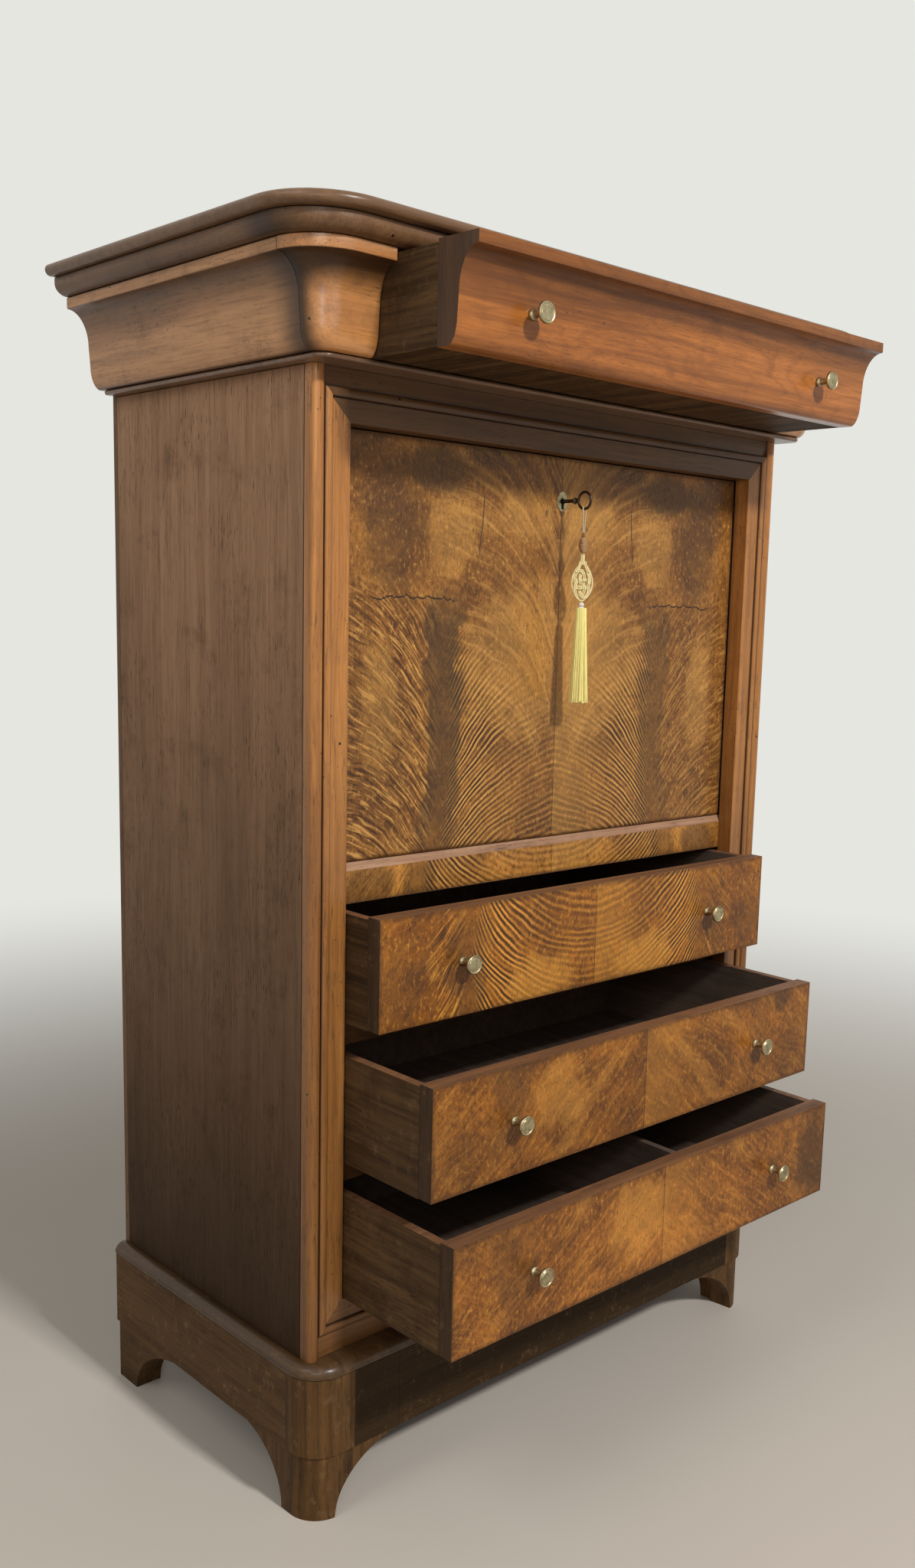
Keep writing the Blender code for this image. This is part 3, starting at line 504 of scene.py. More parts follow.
class Flame(Paint):
    """The node tree of one flame veneer.

    Attributes:
        look: The veneer.
        x, y, z: Where a spot lies.
        half: Its distance from the seam.
        root: Its height above the root of the figure.
        off: Its distance outside the spine, and away the same without its sign.
        outside: One outside the spine.
        turn: The height at which the line through the spot leaves the spine.
        sway: Slow waviness.
        torn: Quick waviness.
        mottle: Small clouds.
    """

    def __init__(self, look: FlameVeneer) -> None:
        """Work out where a spot lies in the figure.

        Args:
            look: The veneer.
        """
        super().__init__(look.name)
        self.look = look
        self.x, self.y, self.z = x, _, z = self.place()
        self.half = half = abs(x)
        self.root = look.high[2] - z if look.from_top else z - look.low[2]
        self.sway = self.noise(half * 7.0, look.seed, z * 7.0, 3.0) - 0.5
        bend = self.noise(look.seed, 3.0, z * 7.0) - 0.5
        self.torn = self.noise(half * 30.0, look.seed + 2.0, z * 24.0, 4.0, 0.65) - 0.5
        self.mottle = self.noise(half * 60.0, look.seed, z * 45.0, 3.0, 0.6)
        self.off = half - look.spine + bend * 0.05
        self.away = abs(self.off)
        self.outside = self.step(self.off, -0.006, 0.006)
        arch = (1.0 - self.math("EXPONENT", self.away * (-1.0 / look.curl))) * look.reach
        self.turn = self.root - arch + self.sway * 0.03

    def dress(self) -> Material:
        """Lay figure, clouds, pores, seam, cracks and handled rim over each other, and the plain inside.

        Returns:
            The material.
        """
        look, half = self.look, self.half
        colour = self.figure()
        heart = self.heart()
        for oval, shade in self.blots():
            if shade > 0:
                heart = self.math("MAXIMUM", heart, oval * shade)
            else:
                colour = self.mix(oval * -shade, colour, look.gleam)
        colour = self.mix(heart * (0.80 + self.torn * 1.1), colour, look.grey)
        pore = self.noise(half * 560.0, look.seed, self.z * 170.0, 2.0, 0.6)
        colour = self.mix(self.step(pore, 0.56, 0.68) * 0.62, colour, look.pore)
        glow = self.step(self.x, -0.0006, 0.0006) * (1.0 - self.step(half, 0.01, 0.12))
        colour = self.mix(glow * 0.20, colour, look.gleam)
        seam = 1.0 - self.step(half, 0.0003, 0.0010)
        colour = self.mix(seam * 0.70, colour, look.glue)
        flaw = self.cracks()
        colour = self.mix(flaw, colour, look.cleft)
        rim = self.rim()
        colour = self.mix(rim * 0.55, colour, look.handled)
        behind = self.step(self.y, look.low[1] + 0.0016, look.low[1] + 0.0020)
        colour = self.mix(behind, colour, self.inside())
        rough = 0.40 + heart * 0.08 + rim * 0.12 + (pore - 0.5) * 0.10
        relief = pore * -0.4 + self.mottle * 0.2 - flaw - seam * 0.6
        return self.finish(colour, rough, relief, 0.0003, 0.0, 0.08)

    def figure(self) -> Wire:
        """Lay the ground and the figure's lines over it.

        Returns:
            The colour.
        """
        look, half, z = self.look, self.half, self.z
        zone = self.noise(half * 9.0, look.seed + 9.0, z * 9.0, 4.0, 0.6)
        grit = self.noise(half * 210.0, look.seed, z * 120.0, 4.0, 0.75)
        colour = self.mix(self.step(zone, 0.34, 0.66), look.golden, look.brown)
        colour = self.mix(self.step(self.mottle, 0.50, 0.70) * 0.50, colour, look.line)
        colour = self.mix(self.step(grit, 0.50, 0.66) * 0.58, colour, look.line)
        colour = self.mix(self.step(0.48 - grit, 0.02, 0.13) * 0.54, colour, look.gleam)
        if look.swirl:
            shadow, light = self.swirl()
            colour = self.mix(shadow, colour, look.line)
            colour = self.mix(light, colour, look.gleam)
        shade, shine = self.plume()
        colour = self.mix(shade * 0.75, colour, look.line)
        colour = self.mix(shine * 0.75, colour, look.gleam)
        dark, bright = self.ripples()
        gap, stroke = self.feathers()
        colour = self.mix(self.math("MAXIMUM", dark, gap), colour, look.line)
        return self.mix(self.math("MAXIMUM", bright, stroke), colour, look.gleam)

    def ripples(self) -> tuple[Wire, Wire]:
        """Draw the lines that arch from the spine to the seam.

        Returns:
            The dark and the bright.
        """
        look, away, turn = self.look, self.away, self.turn
        shift = self.noise(away * 11.0, look.seed + 1.0, turn * 15.0) * 10.0
        wave = self.math("SINE", turn * look.pitch + shift)
        lively = 0.25 + self.step(self.noise(turn * 60.0, look.seed + 3.0, away * 14.0), 0.36, 0.58) * 0.75
        ends = look.ripple_top - away * look.ripple_drop
        shown = (1.0 - self.step(self.root - ends + self.sway * 0.10, -0.07, 0.03)) * self.step(away, 0.004, 0.02)
        shown = shown * (1.0 - self.outside) * look.ripple * lively
        dark = self.step(wave, -0.10, 0.70) * shown * (1.0 - self.step(away, 0.05, 0.15) * 0.55)
        bright = self.step(-wave, 0.10, 0.85) * shown * (1.0 - self.step(away, 0.05, 0.14) * 0.70) * 0.85
        return dark, bright

    def plume(self) -> tuple[Wire, Wire]:
        """Draw the lines that rise from the seam like a sheaf.

        Returns:
            The dark and the bright.
        """
        seed, half, root = self.look.seed, self.half, self.root
        sheaf = root - (1.0 - self.math("EXPONENT", half * (-1.0 / 0.075))) * 0.17 + self.sway * 0.05
        lines = self.noise(sheaf * 130.0, seed + 7.0, half * 9.0, 3.0, 0.6)
        broad = self.noise(sheaf * 30.0, seed + 8.0, half * 6.0, 3.0, 0.55)
        shown = self.step(root, 0.06, 0.20) * (1.0 - self.step(half + self.sway * 0.08, 0.15, 0.24))
        shown = shown * self.look.plume
        dark = (self.step(lines, 0.50, 0.68) * 0.70 + self.step(broad, 0.50, 0.66) * 0.55) * shown
        bright = (self.step(0.49 - lines, 0.0, 0.13) * 0.55 + self.step(0.48 - broad, 0.0, 0.14) * 0.40) * shown
        return dark, bright

    def feathers(self) -> tuple[Wire, Wire]:
        """Draw the golden strokes outside the spine and the brown between them.

        Returns:
            The dark and the bright.
        """
        look, off, sway = self.look, self.off, self.sway
        stroke = self.noise(self.turn * 210.0 + sway * 4.0, look.seed + 5.0, off * 30.0, 2.0, 0.55, 0.5)
        shown = self.outside * self.step(off, 0.002, 0.02) * (1.0 - self.step(self.root + sway * 0.1, 0.25, 0.34))
        shown = shown * look.feather * (1.0 - self.step(off + sway * 0.05, look.fringe * 0.6, look.fringe))
        shown = shown * (1.0 - self.step(self.x, -0.01, 0.01) * 0.45)
        return self.step(0.5 - stroke, 0.02, 0.14) * shown * 0.85, self.step(stroke, 0.52, 0.66) * shown * 0.80

    def swirl(self) -> tuple[Wire, Wire]:
        """Draw a soft figure that slopes down and out.

        Returns:
            The dark and the bright.
        """
        look = self.look
        across = self.half * 0.62 + self.z * 0.78 + self.sway * 0.055
        along = self.half * 0.78 - self.z * 0.62
        broad = self.noise(across * 24.0, look.seed + 11.0, along * 6.0, 4.0, 0.6, 0.35)
        hair = self.noise(across * 170.0, look.seed + 12.0, along * 18.0, 3.0, 0.6)
        thin = self.noise(across * 400.0, look.seed + 13.0, along * 34.0, 2.0, 0.6)
        dark = self.step(broad, 0.50, 0.68) * 0.40 + self.step(hair, 0.50, 0.66) * 0.36
        dark = dark + self.step(thin, 0.52, 0.66) * 0.26
        bright = self.step(0.49 - broad, 0.0, 0.18) * 0.34 + self.step(0.47 - hair, 0.0, 0.12) * 0.28
        return dark * look.swirl, bright * look.swirl

    def heart(self) -> Wire:
        """Draw the dark spine with its ragged edge.

        Returns:
            The dark.
        """
        look, root = self.look, self.root
        width = self.noise(look.seed + 4.0, 1.0, self.z * 11.0) * 0.03
        edge = self.away - width + self.torn * 0.065
        fade = (1.0 - self.step(root, 0.27, 0.34)) * (0.55 + self.step(root, 0.0, 0.07) * 0.45)
        fade = fade * (1.0 - self.step(self.x, -0.01, 0.01) * 0.30)
        return (1.0 - self.step(edge, look.band * 0.25, look.band * 0.80)) * fade * look.patch

    def blots(self) -> list[tuple[Wire, float]]:
        """Draw each cloud or gleam as a ragged oval.

        Returns:
            The ovals with their strengths, below zero for a gleam.
        """
        made = []
        for blot in self.look.blots:
            first = ((self.x * blot.side.value if blot.side else self.half) - blot.across) / blot.wide
            second = (self.z - blot.up) / blot.tall
            far = first * first + second * second + self.torn * 2.8
            made.append((1.0 - self.step(far, 0.25, 1.15), blot.shade))
        return made

    def cracks(self) -> Wire:
        """Draw a thin crack across each half and a split above it.

        Returns:
            One in the cracks.
        """
        seed, half, up = self.look.seed, self.half, self.z - self.look.low[2]
        wave = self.noise(half * 26.0, seed, 1.0, 4.0, 0.6) - 0.5
        crack = 1.0 - self.step(abs(up - 0.305 - wave * 0.04), 0.0004, 0.0014)
        crack = crack * self.step(half, 0.165, 0.185) * (1.0 - self.step(half, 0.295, 0.32))
        sag = self.noise(seed, 5.0, self.z * 20.0, 3.0) - 0.5
        split = 1.0 - self.step(abs(half - 0.136 + (up - 0.40) * 0.10 + sag * 0.012), 0.0004, 0.0016)
        split = split * self.step(up, 0.355, 0.365) * (1.0 - self.step(up, 0.425, 0.435))
        return self.math("MAXIMUM", crack, split * 0.75) * self.look.crack

    def rim(self) -> Wire:
        """Draw the handled, darker edge of the panel.

        Returns:
            One at the edge.
        """
        low, high = self.look.low, self.look.high
        across = self.math("MINIMUM", self.x - low[0], high[0] - self.x)
        up = self.math("MINIMUM", self.z - low[2], high[2] - self.z)
        return 1.0 - self.step(self.math("MINIMUM", across, up) + self.sway * 0.006, 0.0005, 0.007)

    def inside(self) -> Wire:
        """Draw the plain board behind the veneer.

        Returns:
            Its colour.
        """
        x, y, look = self.x, self.y, self.look
        level = self.z + self.noise(x * 2.0, 1.0, self.z * 5.0) * 0.05
        board = self.noise(x * 3.0, y * 60.0, level * 70.0, 4.0, 0.65)
        fibre = self.noise(x * 14.0, y * 200.0, level * 380.0, 3.0, 0.6)
        plain = self.mix(self.step(board, 0.36, 0.64), look.inside_light, look.inside_dark)
        return self.mix(self.step(fibre, 0.52, 0.70) * 0.5, plain, look.inside_fibre)


@dataclass(frozen=True)
class OldMetal(Finish):
    """Brass or iron with a dull, spotted skin; without metal, old turned wood, glass, and the near-black painted
    shade inside the keyhole.
    """

    bright: Colour
    dull: Colour
    rough: float
    spots: float = 0.5
    metallic: float = 1.0
    soot: Colour = srgb(60, 50, 34)

    def make(self) -> Material:
        """Build the material.

        Returns:
            The material.
        """
        paint = Paint(self.name)
        x, y, z = paint.place()
        coarse = paint.noise(x * 160.0, y * 160.0, z * 160.0, 4.0, 0.6)
        fine = paint.noise(x * 900.0, y * 900.0, z * 900.0, 3.0, 0.6)
        tarnish = paint.step(coarse, 0.40, 0.66) * self.spots
        colour = paint.mix(tarnish, self.bright, self.dull)
        colour = paint.mix(paint.step(fine, 0.62, 0.74) * 0.4, colour, self.soot)
        rough = self.rough + tarnish * 0.22 + (fine - 0.5) * 0.12
        return paint.finish(colour, rough, fine, 0.00008, self.metallic)


@dataclass(frozen=True)
class Silk(Finish):
    """Twisted silk thread with a soft sheen."""

    light: Colour
    dark: Colour
    sheen: float = 0.35
    sheen_rough: float = 0.4

    def make(self) -> Material:
        """Build the material.

        Returns:
            The material.
        """
        paint = Paint(self.name)
        x, y, z = paint.place()
        thread = paint.noise(x * 1500.0, y * 1500.0, z * 60.0, 2.0, 0.6)
        lay = paint.noise(x * 240.0, y * 240.0, z * 900.0)
        colour = paint.mix(paint.step(thread, 0.35, 0.70) * 0.7, self.light, self.dark)
        colour = paint.mix(paint.step(lay, 0.55, 0.75) * 0.35, colour, self.dark)
        paint.feed(paint.shader, {"Sheen Weight": self.sheen, "Sheen Roughness": self.sheen_rough})
        return paint.finish(colour, 0.55 + (thread - 0.5) * 0.2, thread * 0.6 + lay * 0.4, 0.0002)


FACE = -0.105  # front plane of the face frame
SEAT = 0.0003  # gap between boards that meet
MERGE = 2e-6  # points that are nearer to each other become one
SPECK = 1e-6  # anything smaller counts as nothing


def stand(name: str, data: ID) -> Object:
    """Stand something new in the scene.

    Args:
        name: Its name.
        data: Its mesh, curve, lamp or camera.

    Returns:
        The object.
    """
    made = bpy.data.objects.new(name, data)
    bpy.context.scene.collection.objects.link(made)
    return made


def arc(centre: Point, radii: Point, start: float, end: float, steps: int = 14) -> list[Point]:
    """Give points on an elliptic arc.

    Args:
        centre: Its centre.
        radii: Its two radii.
        start: First angle in degrees.
        end: Last angle in degrees.
        steps: Straight steps in it.

    Returns:
        The points, both ends included.
    """
    angles = [math.radians(start + (end - start) * i / steps) for i in range(steps + 1)]
    return [(centre[0] + radii[0] * math.cos(a), centre[1] + radii[1] * math.sin(a)) for a in angles]


def plan(half: float, front: float, back: float, radius: float, steps: int = 14) -> list[Point]:
    """Give the outline of a slab from above, its two front corners rounded.

    Args:
        half: Half its width.
        front: Its front edge.
        back: Its back edge.
        radius: The corners' radius.
        steps: Steps in each corner.

    Returns:
        The outline.
    """
    left = arc((radius - half, front + radius), (radius, radius), 180, 270, steps)
    right = arc((half - radius, front + radius), (radius, radius), 270, 360, steps)
    return [(-half, back), *left, *right, (half, back)]


class Shape:
    """A mesh in the making, in metres in the object's own frame."""

    def __init__(self) -> None:
        """Start with nothing."""
        self.work = bmesh.new()

    def box(self, low: Sequence[float], high: Sequence[float], ease: float = 0.0) -> "Shape":
        """Add a board.

        Args:
            low: Lowest corner.
            high: Highest corner.
            ease: How far its edges are rounded.

        Returns:
            The same shape.
        """
        size = Vector(high) - Vector(low)
        place = Matrix.Translation((Vector(high) + Vector(low)) / 2) @ Matrix.Diagonal((*size, 1.0))
        made = bmesh.ops.create_cube(self.work, size=1.0, matrix=place)["verts"]
        if ease:
            edges = list({edge for vert in made for edge in vert.link_edges})
            bmesh.ops.bevel(self.work, geom=edges, offset=ease, segments=2, profile=0.5, affect="EDGES")
        return self

    def rings(self, rings: Sequence[Sequence[Sequence[float]]], closed: bool = False) -> "Shape":
        """Add a skin through rings of equal point counts.

        Args:
            rings: The rings in order.
            closed: Whether the last joins the first. If not, both ends are filled.

        Returns:
            The same shape.
        """
        loops = [[self.work.verts.new(point) for point in ring] for ring in rings]
        count = len(loops[0])
        for lower, upper in zip(loops, loops[1:] + loops[:1] if closed else loops[1:]):
            for i in range(count):
                j = (i + 1) % count
                self.work.faces.new((lower[i], lower[j], upper[j], upper[i]))
        if not closed:
            self.work.faces.new(list(reversed(loops[0])))
            self.work.faces.new(loops[-1])
        return self

    def prism(self, outline: Sequence[Point], way: Grain, low: float, high: float) -> "Shape":
        """Push an outline along an axis.

        Args:
            outline: Points across the axis, in the order of the other two axes.
            way: The axis.
            low: Where it starts.
            high: Where it ends.

        Returns:
            The same shape.
        """
        lay: dict[Grain, Callable[[Point, float], Place]] = {
            Grain.ACROSS: lambda p, t: (t, p[0], p[1]),
            Grain.BACK: lambda p, t: (p[0], t, p[1]),
            Grain.UP: lambda p, t: (p[0], p[1], t)}
        return self.rings([[lay[way](point, end) for point in outline] for end in (low, high)])

    def turned(self, profile: Sequence[Point], place: Matrix, sides: int = 40) -> "Shape":
        """Add a turned shape.

        Args:
            profile: Radius and height from one end of its axis to the other.
            place: Where its axis, upright in the profile, goes.
            sides: Steps round it.

        Returns:
            The same shape.
        """
        loops: list[list[bmesh.types.BMVert]] = []
        for radius, height in profile:
            around = 1 if radius < SPECK else sides
            angles = [math.tau * i / around for i in range(around)]
            loops.append([self.work.verts.new(place @ Vector((radius * math.cos(a), radius * math.sin(a), height)))
                          for a in angles])
        for lower, upper in zip(loops, loops[1:]):
            for i in range(sides):
                j = (i + 1) % sides
                corners = [lower[i % len(lower)], lower[j % len(lower)],
                           upper[j % len(upper)], upper[i % len(upper)]]
                unique = list(dict.fromkeys(corners))
                if len(unique) > 2:
                    self.work.faces.new(unique)
        return self

    def piece(self, name: str, *materials: Material, angle: float = 32.0,
              pick: Callable[[Vector, Vector], int] | None = None) -> Object:
        """Close the mesh and make it a piece.

        Args:
            name: Its name.
            materials: Its finishes.
            angle: Edges that turn more than this, in degrees, stay crisp.
            pick: Gives a face's finish from its centre and its normal.

        Returns:
            The piece.
        """
        bmesh.ops.remove_doubles(self.work, verts=self.work.verts[:], dist=MERGE)
        bmesh.ops.recalc_face_normals(self.work, faces=self.work.faces[:])
        if pick is not None:
            for face in self.work.faces:
                face.material_index = pick(face.calc_center_median(), face.normal)
        mesh = bpy.data.meshes.new(name)
        self.work.to_mesh(mesh)
        self.work.free()
        for material in materials:
            mesh.materials.append(material)
        mesh.shade_smooth()
        mesh.set_sharp_from_angle(angle=math.radians(angle))
        made = stand(name, mesh)
        made.modifiers.new("even shading", "WEIGHTED_NORMAL").keep_sharp = True
        return made


class Recipe(Graph):
    """A Geometry Nodes tree with named inputs, run once into a plain mesh."""

    def __init__(self, name: str, **inputs: str) -> None:
        """Make the tree with a geometry input and the named ones.

        Args:
            name: The tree's name.
            inputs: The kind of each named input.
        """
        tree = bpy.data.node_groups.new(name, "GeometryNodeTree")
        super().__init__(tree)
        tree.interface.new_socket("Geometry", in_out="OUTPUT", socket_type="NodeSocketGeometry")
        for label, kind in {"Geometry": "Geometry", **inputs}.items():
            tree.interface.new_socket(label, in_out="INPUT", socket_type=f"NodeSocket{kind}")
        self.entry = self.add("NodeGroupInput")

    def given(self, name: str) -> Wire:
        """Give one of the tree's inputs."""
        return Wire(self, self.entry.outputs[name])

    def close(self, made: Wire) -> None:
        """End the tree: make copies real, shade them smooth and set the material.

        Args:
            made: The geometry.
        """
        real = self.node("GeometryNodeRealizeInstances", None, {0: made})
        smooth = self.node("GeometryNodeSetShadeSmooth", None, {0: real})
        dressed = self.node("GeometryNodeSetMaterial", None,
                            {"Geometry": smooth, "Material": self.given("Material")})
        self.add("NodeGroupOutput", None, {0: dressed})

    def run(self, name: str, start: Mesh, angle: float = 40.0, **values: object) -> Object:
        """Run the tree on a mesh.

        Args:
            name: The piece's name.
            start: The mesh that goes in.
            angle: Edges that turn more than this stay crisp.
            values: The named inputs.

        Returns:
            The finished piece.
        """
        made = stand(name, start)
        modifier = made.modifiers.new("recipe", "NODES")
        modifier.node_group = self.tree
        sockets = {item.name: item.identifier for item in self.tree.interface.items_tree
                   if item.item_type == "SOCKET" and item.in_out == "INPUT"}
        for label, value in values.items():
            modifier[sockets[label]] = value
        graph = bpy.context.evaluated_depsgraph_get()
        mesh = bpy.data.meshes.new_from_object(made.evaluated_get(graph), depsgraph=graph)
        made.modifiers.clear()
        made.data = mesh
        work = bmesh.new()
        work.from_mesh(mesh)
        bmesh.ops.remove_doubles(work, verts=work.verts[:], dist=MERGE)
        bmesh.ops.recalc_face_normals(work, faces=work.faces[:])
        work.to_mesh(mesh)
        work.free()
        mesh.set_sharp_from_angle(angle=math.radians(angle))
        return made


def line_mesh(name: str, lines: Sequence[Sequence[Sequence[float]]], closed: bool = False) -> Mesh:
    """Make a mesh of edges along lines.

    Args:
        name: Its name.
        lines: The points of each line in order.
        closed: Whether the last point of a line joins its first.

    Returns:
        The mesh.
    """
    points: list[Sequence[float]] = []
    edges: list[tuple[int, int]] = []
    for line in lines:
        base = len(points)
        points += [tuple(point) for point in line]
        edges += [(i, i + 1) for i in range(base, len(points) - 1)]
        if closed:
            edges.append((len(points) - 1, base))
    mesh = bpy.data.meshes.new(name)
    mesh.from_pydata(points, edges, [])
    return mesh


class Moulding(Recipe):
    """Runs a moulding's section along a level path, standing upright."""

    def __init__(self) -> None:
        """Build the tree."""
        super().__init__("moulding", Section="Object", Material="Material")
        path = self.node("GeometryNodeMeshToCurve", None, {0: self.given("Geometry")})
        upright = self.node("GeometryNodeSetCurveNormal", {"mode": "Z_UP"}, {"Curve": path})
        section = self.node("GeometryNodeObjectInfo", {"transform_space": "ORIGINAL"},
                            {"Object": self.given("Section")}, "Geometry")
        edge = self.node("GeometryNodeMeshToCurve", None, {0: section})
        self.close(self.node("GeometryNodeCurveToMesh", None,
                             {"Curve": upright, "Profile Curve": edge, "Fill Caps": True}))

    def along(self, name: str, path: Sequence[Point], section: Sequence[Point], material: Material,
              ends: Material | None = None) -> Object:
        """Run a section along a path.

        Args:
            name: The piece's name.
            path: Points of the path from above, with the outside on its right.
            section: Outline as out and height.
            material: The finish.
            ends: The finish of end grain on a run along the front, if it differs.

        Returns:
            The piece.
        """
        label = f"{name} section"
        outline = line_mesh(label, [[(out, -height, 0.0) for out, height in section]], True)
        shown = bpy.data.objects.new(label, outline)
        run = line_mesh(name, [[(x, y, 0.0) for x, y in path]])
        made = self.run(name, run, 30.0, Section=shown, Material=material)
        bpy.data.objects.remove(shown)
        if ends is not None:
            made.data.materials.append(ends)
            for polygon in made.data.polygons:
                polygon.material_index = 1 if abs(polygon.normal.x) > 0.9 else 0
        return made


class Cording(Recipe):
    """Lays a round thread along every line of a mesh."""

    def __init__(self) -> None:
        """Build the tree."""
        super().__init__("cording", Radius="Float", Sides="Int", Material="Material")
        path = self.node("GeometryNodeMeshToCurve", None, {0: self.given("Geometry")})
        ring = self.node("GeometryNodeCurvePrimitiveCircle", None,
                         {"Resolution": self.given("Sides"), "Radius": self.given("Radius")}, "Curve")
        self.close(self.node("GeometryNodeCurveToMesh", None,
                             {"Curve": path, "Profile Curve": ring, "Fill Caps": True}))


class Row(Recipe):
    """Sets out copies of one shape in a straight row."""

    def __init__(self) -> None:
        """Build the tree."""
        super().__init__("row", Count="Int", Start="Vector", Pitch="Vector", Material="Material")
        line = self.node("GeometryNodeMeshLine", {"mode": "OFFSET"}, {
            "Count": self.given("Count"), "Start Location": self.given("Start"), "Offset": self.given("Pitch")})
        self.close(self.node("GeometryNodeInstanceOnPoints", None,
                             {"Points": line, "Instance": self.given("Geometry")}))


class Fringe(Recipe):
    """Hangs threads side by side, spread a little towards their ends."""

    GOLDEN_TURN = 2.399963  # from one thread to the next, so that they fill the round evenly
    BENDS = 8  # points along a thread
    SIDES = 5  # points round it

    def __init__(self) -> None:
        """Build the tree."""
        super().__init__("fringe", Count="Int", Top="Vector", Neck="Float", Spread="Float", Length="Float",
                         Thread="Float", Seed="Int", Material="Material")
        line = self.node("GeometryNodeMeshLine", {"mode": "OFFSET"}, {"Count": self.given("Count")})
        index = self.node("GeometryNodeInputIndex")
        share = self.math("SQRT", (index + 0.5) / self.given("Count"))
        angle = index * self.GOLDEN_TURN
        reach = share * self.given("Neck")
        x, y, z = self.split(self.given("Top"))
        place = self.vector(self.math("COSINE", angle) * reach + x, self.math("SINE", angle) * reach + y, z)
        spots = self.node("GeometryNodeSetPosition", None, {"Geometry": line, "Position": place})
        thread = self.node("GeometryNodeCurvePrimitiveLine", None, {"Start": (0, 0, 0), "End": (0, 0, -1)})
        bent = self.node("GeometryNodeResampleCurve", None, {"Curve": thread, "Count": self.BENDS})
        ring = self.node("GeometryNodeCurvePrimitiveCircle", None,
                         {"Resolution": self.SIDES, "Radius": self.given("Thread")}, "Curve")
        strand = self.node("GeometryNodeCurveToMesh", None,
                           {"Curve": bent, "Profile Curve": ring, "Fill Caps": True})
        loose = self.chance(0.75, 1.10, 1)
        tilt = self.math("ARCTAN2", (self.given("Spread") - self.given("Neck")) * share * loose,
                         self.given("Length"))
        turn = self.node("FunctionNodeEulerToRotation", None, {0: self.vector(0.0, tilt * -1.0, angle)})
        size = self.vector(1.0, 1.0, self.given("Length") * self.chance(0.955, 1.0, 2))
        self.close(self.node("GeometryNodeInstanceOnPoints", None, {
            "Points": spots, "Instance": strand, "Rotation": turn, "Scale": size}))

    def chance(self, low: float, high: float, salt: int) -> Wire:
        """Draw a random number for each thread; the salt sets one draw apart from another."""
        return self.node("FunctionNodeRandomValue", {"data_type": "FLOAT"},
                         {2: low, 3: high, "Seed": self.given("Seed") + salt}, 1)


class Workshop:
    """Makes finishes once, holds the recipes and takes finished pieces into the frame."""

    def __init__(self, frame: dict) -> None:
        """Keep the frame's nodes and set out the recipes.

        Args:
            frame: The loaded frame.
        """
        self.nodes = frame["nodes"]
        self.made: dict[Finish, Material] = {}
        self.moulding, self.cording, self.row, self.fringe = Moulding(), Cording(), Row(), Fringe()

    def finish(self, finish: Finish) -> Material:
        """Give the material of a finish, making it the first time.

        Args:
            finish: The finish.

        Returns:
            Its material.
        """
        if finish not in self.made:
            self.made[finish] = finish.make()
        return self.made[finish]

    def fit(self, piece: Object, body: str, slot: str, *nodes: str) -> None:
        """Let a piece ride on a body in place of nodes.

        Args:
            piece: The piece.
            body: The body it moves with.
            slot: Not used.
            nodes: The nodes it stands for.
        """
        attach(piece, body)
        if nodes:
            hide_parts(*nodes)
        LOG.info("%s rides on %s", piece.name, body)

    def keep(self, name: str, finish: Finish, ease: float = 0.0008) -> None:
        """Dress a node that stays and ease its edges.

        Args:
            name: The node.
            finish: Its finish.
            ease: How far its edges are rounded.
        """
        node = self.nodes[name]
        node.data.materials.clear()
        node.data.materials.append(self.finish(finish))
        for polygon in node.data.polygons:
            polygon.material_index = 0
        node.modifiers.new("joined", "WELD").merge_threshold = 0.00001
        bevel = node.modifiers.new("eased", "BEVEL")
        bevel.width = ease
        bevel.segments = 2
        bevel.limit_method = "ANGLE"
        bevel.angle_limit = math.radians(40)
        LOG.info("%s stays", name)


CORNICE_LIP = (1.4222, 1.4360)  # its lower and upper edge
CORNICE_JOINT = -0.127  # where the sides meet the corner blocks

# The side panel carries painted shade, darker towards the floor.
SIDE = PlainWalnut(
    "side_walnut", srgb(178, 139, 108), srgb(116, 86, 62), Grain.UP, fleck=0.65, streak=0.34, grime=0.42,
    rough=0.50, grooves=(-0.0928,), groove_across=Grain.BACK, dim=Fade(0.0, 1.35, 0.98), gloss=0.07, fine=1.5,
    deep=srgb(34, 20, 6))
SIDE_BACK = PlainWalnut(
    "back_walnut", srgb(122, 92, 66), srgb(86, 62, 43), Grain.UP, fleck=0.5, streak=0.6, grime=0.3, rough=0.65,
    seed=3.0, holes=0.6, grooves=(0.068, 0.205, 0.342))
# The cornice sides carry painted shade in the cove and the ovolo and beside the corner-block joint; the lit lip is
# spared.
CORNICE = PlainWalnut(
    "cornice_walnut", srgb(210, 156, 105), srgb(140, 96, 61), Grain.BACK, fleck=0.36, streak=0.45, grime=0.55,
    rough=0.36, coat=0.15, seed=1.0, holes=1.0, grooves=(1.3307, 1.4353, 1.4558), groove_across=Grain.UP,
    groove_wide=0.0026, dim=Fade(1.420, 1.372, 0.72), clean=CORNICE_LIP, smear=Smear(CORNICE_JOINT, 0.055, 0.86),
    fine=1.5)
# The corner blocks carry painted shade in the cove and beside the joint with the sides; the lit lip is spared.
CORNER = PlainWalnut(
    "cornice_corner_walnut", srgb(214, 147, 81), srgb(146, 94, 50), Grain.ACROSS, fleck=0.60, streak=0.5,
    grime=0.50, rough=0.42, coat=1.0, seed=5.0, holes=1.0, smear=Smear(CORNICE_JOINT, 0.022, 0.92),
    dim=Fade(1.408, 1.376, 0.90), clean=CORNICE_LIP, fine=1.8, blur=0.31, gloss=0.30, deep=srgb(40, 24, 12))
ASTRAGAL = PlainWalnut(
    "astragal_walnut", srgb(132, 98, 72), srgb(84, 60, 43), Grain.ACROSS, fleck=0.36, streak=0.45, grime=0.45,
    rough=0.32, coat=0.35, seed=1.5, holes=0.6)
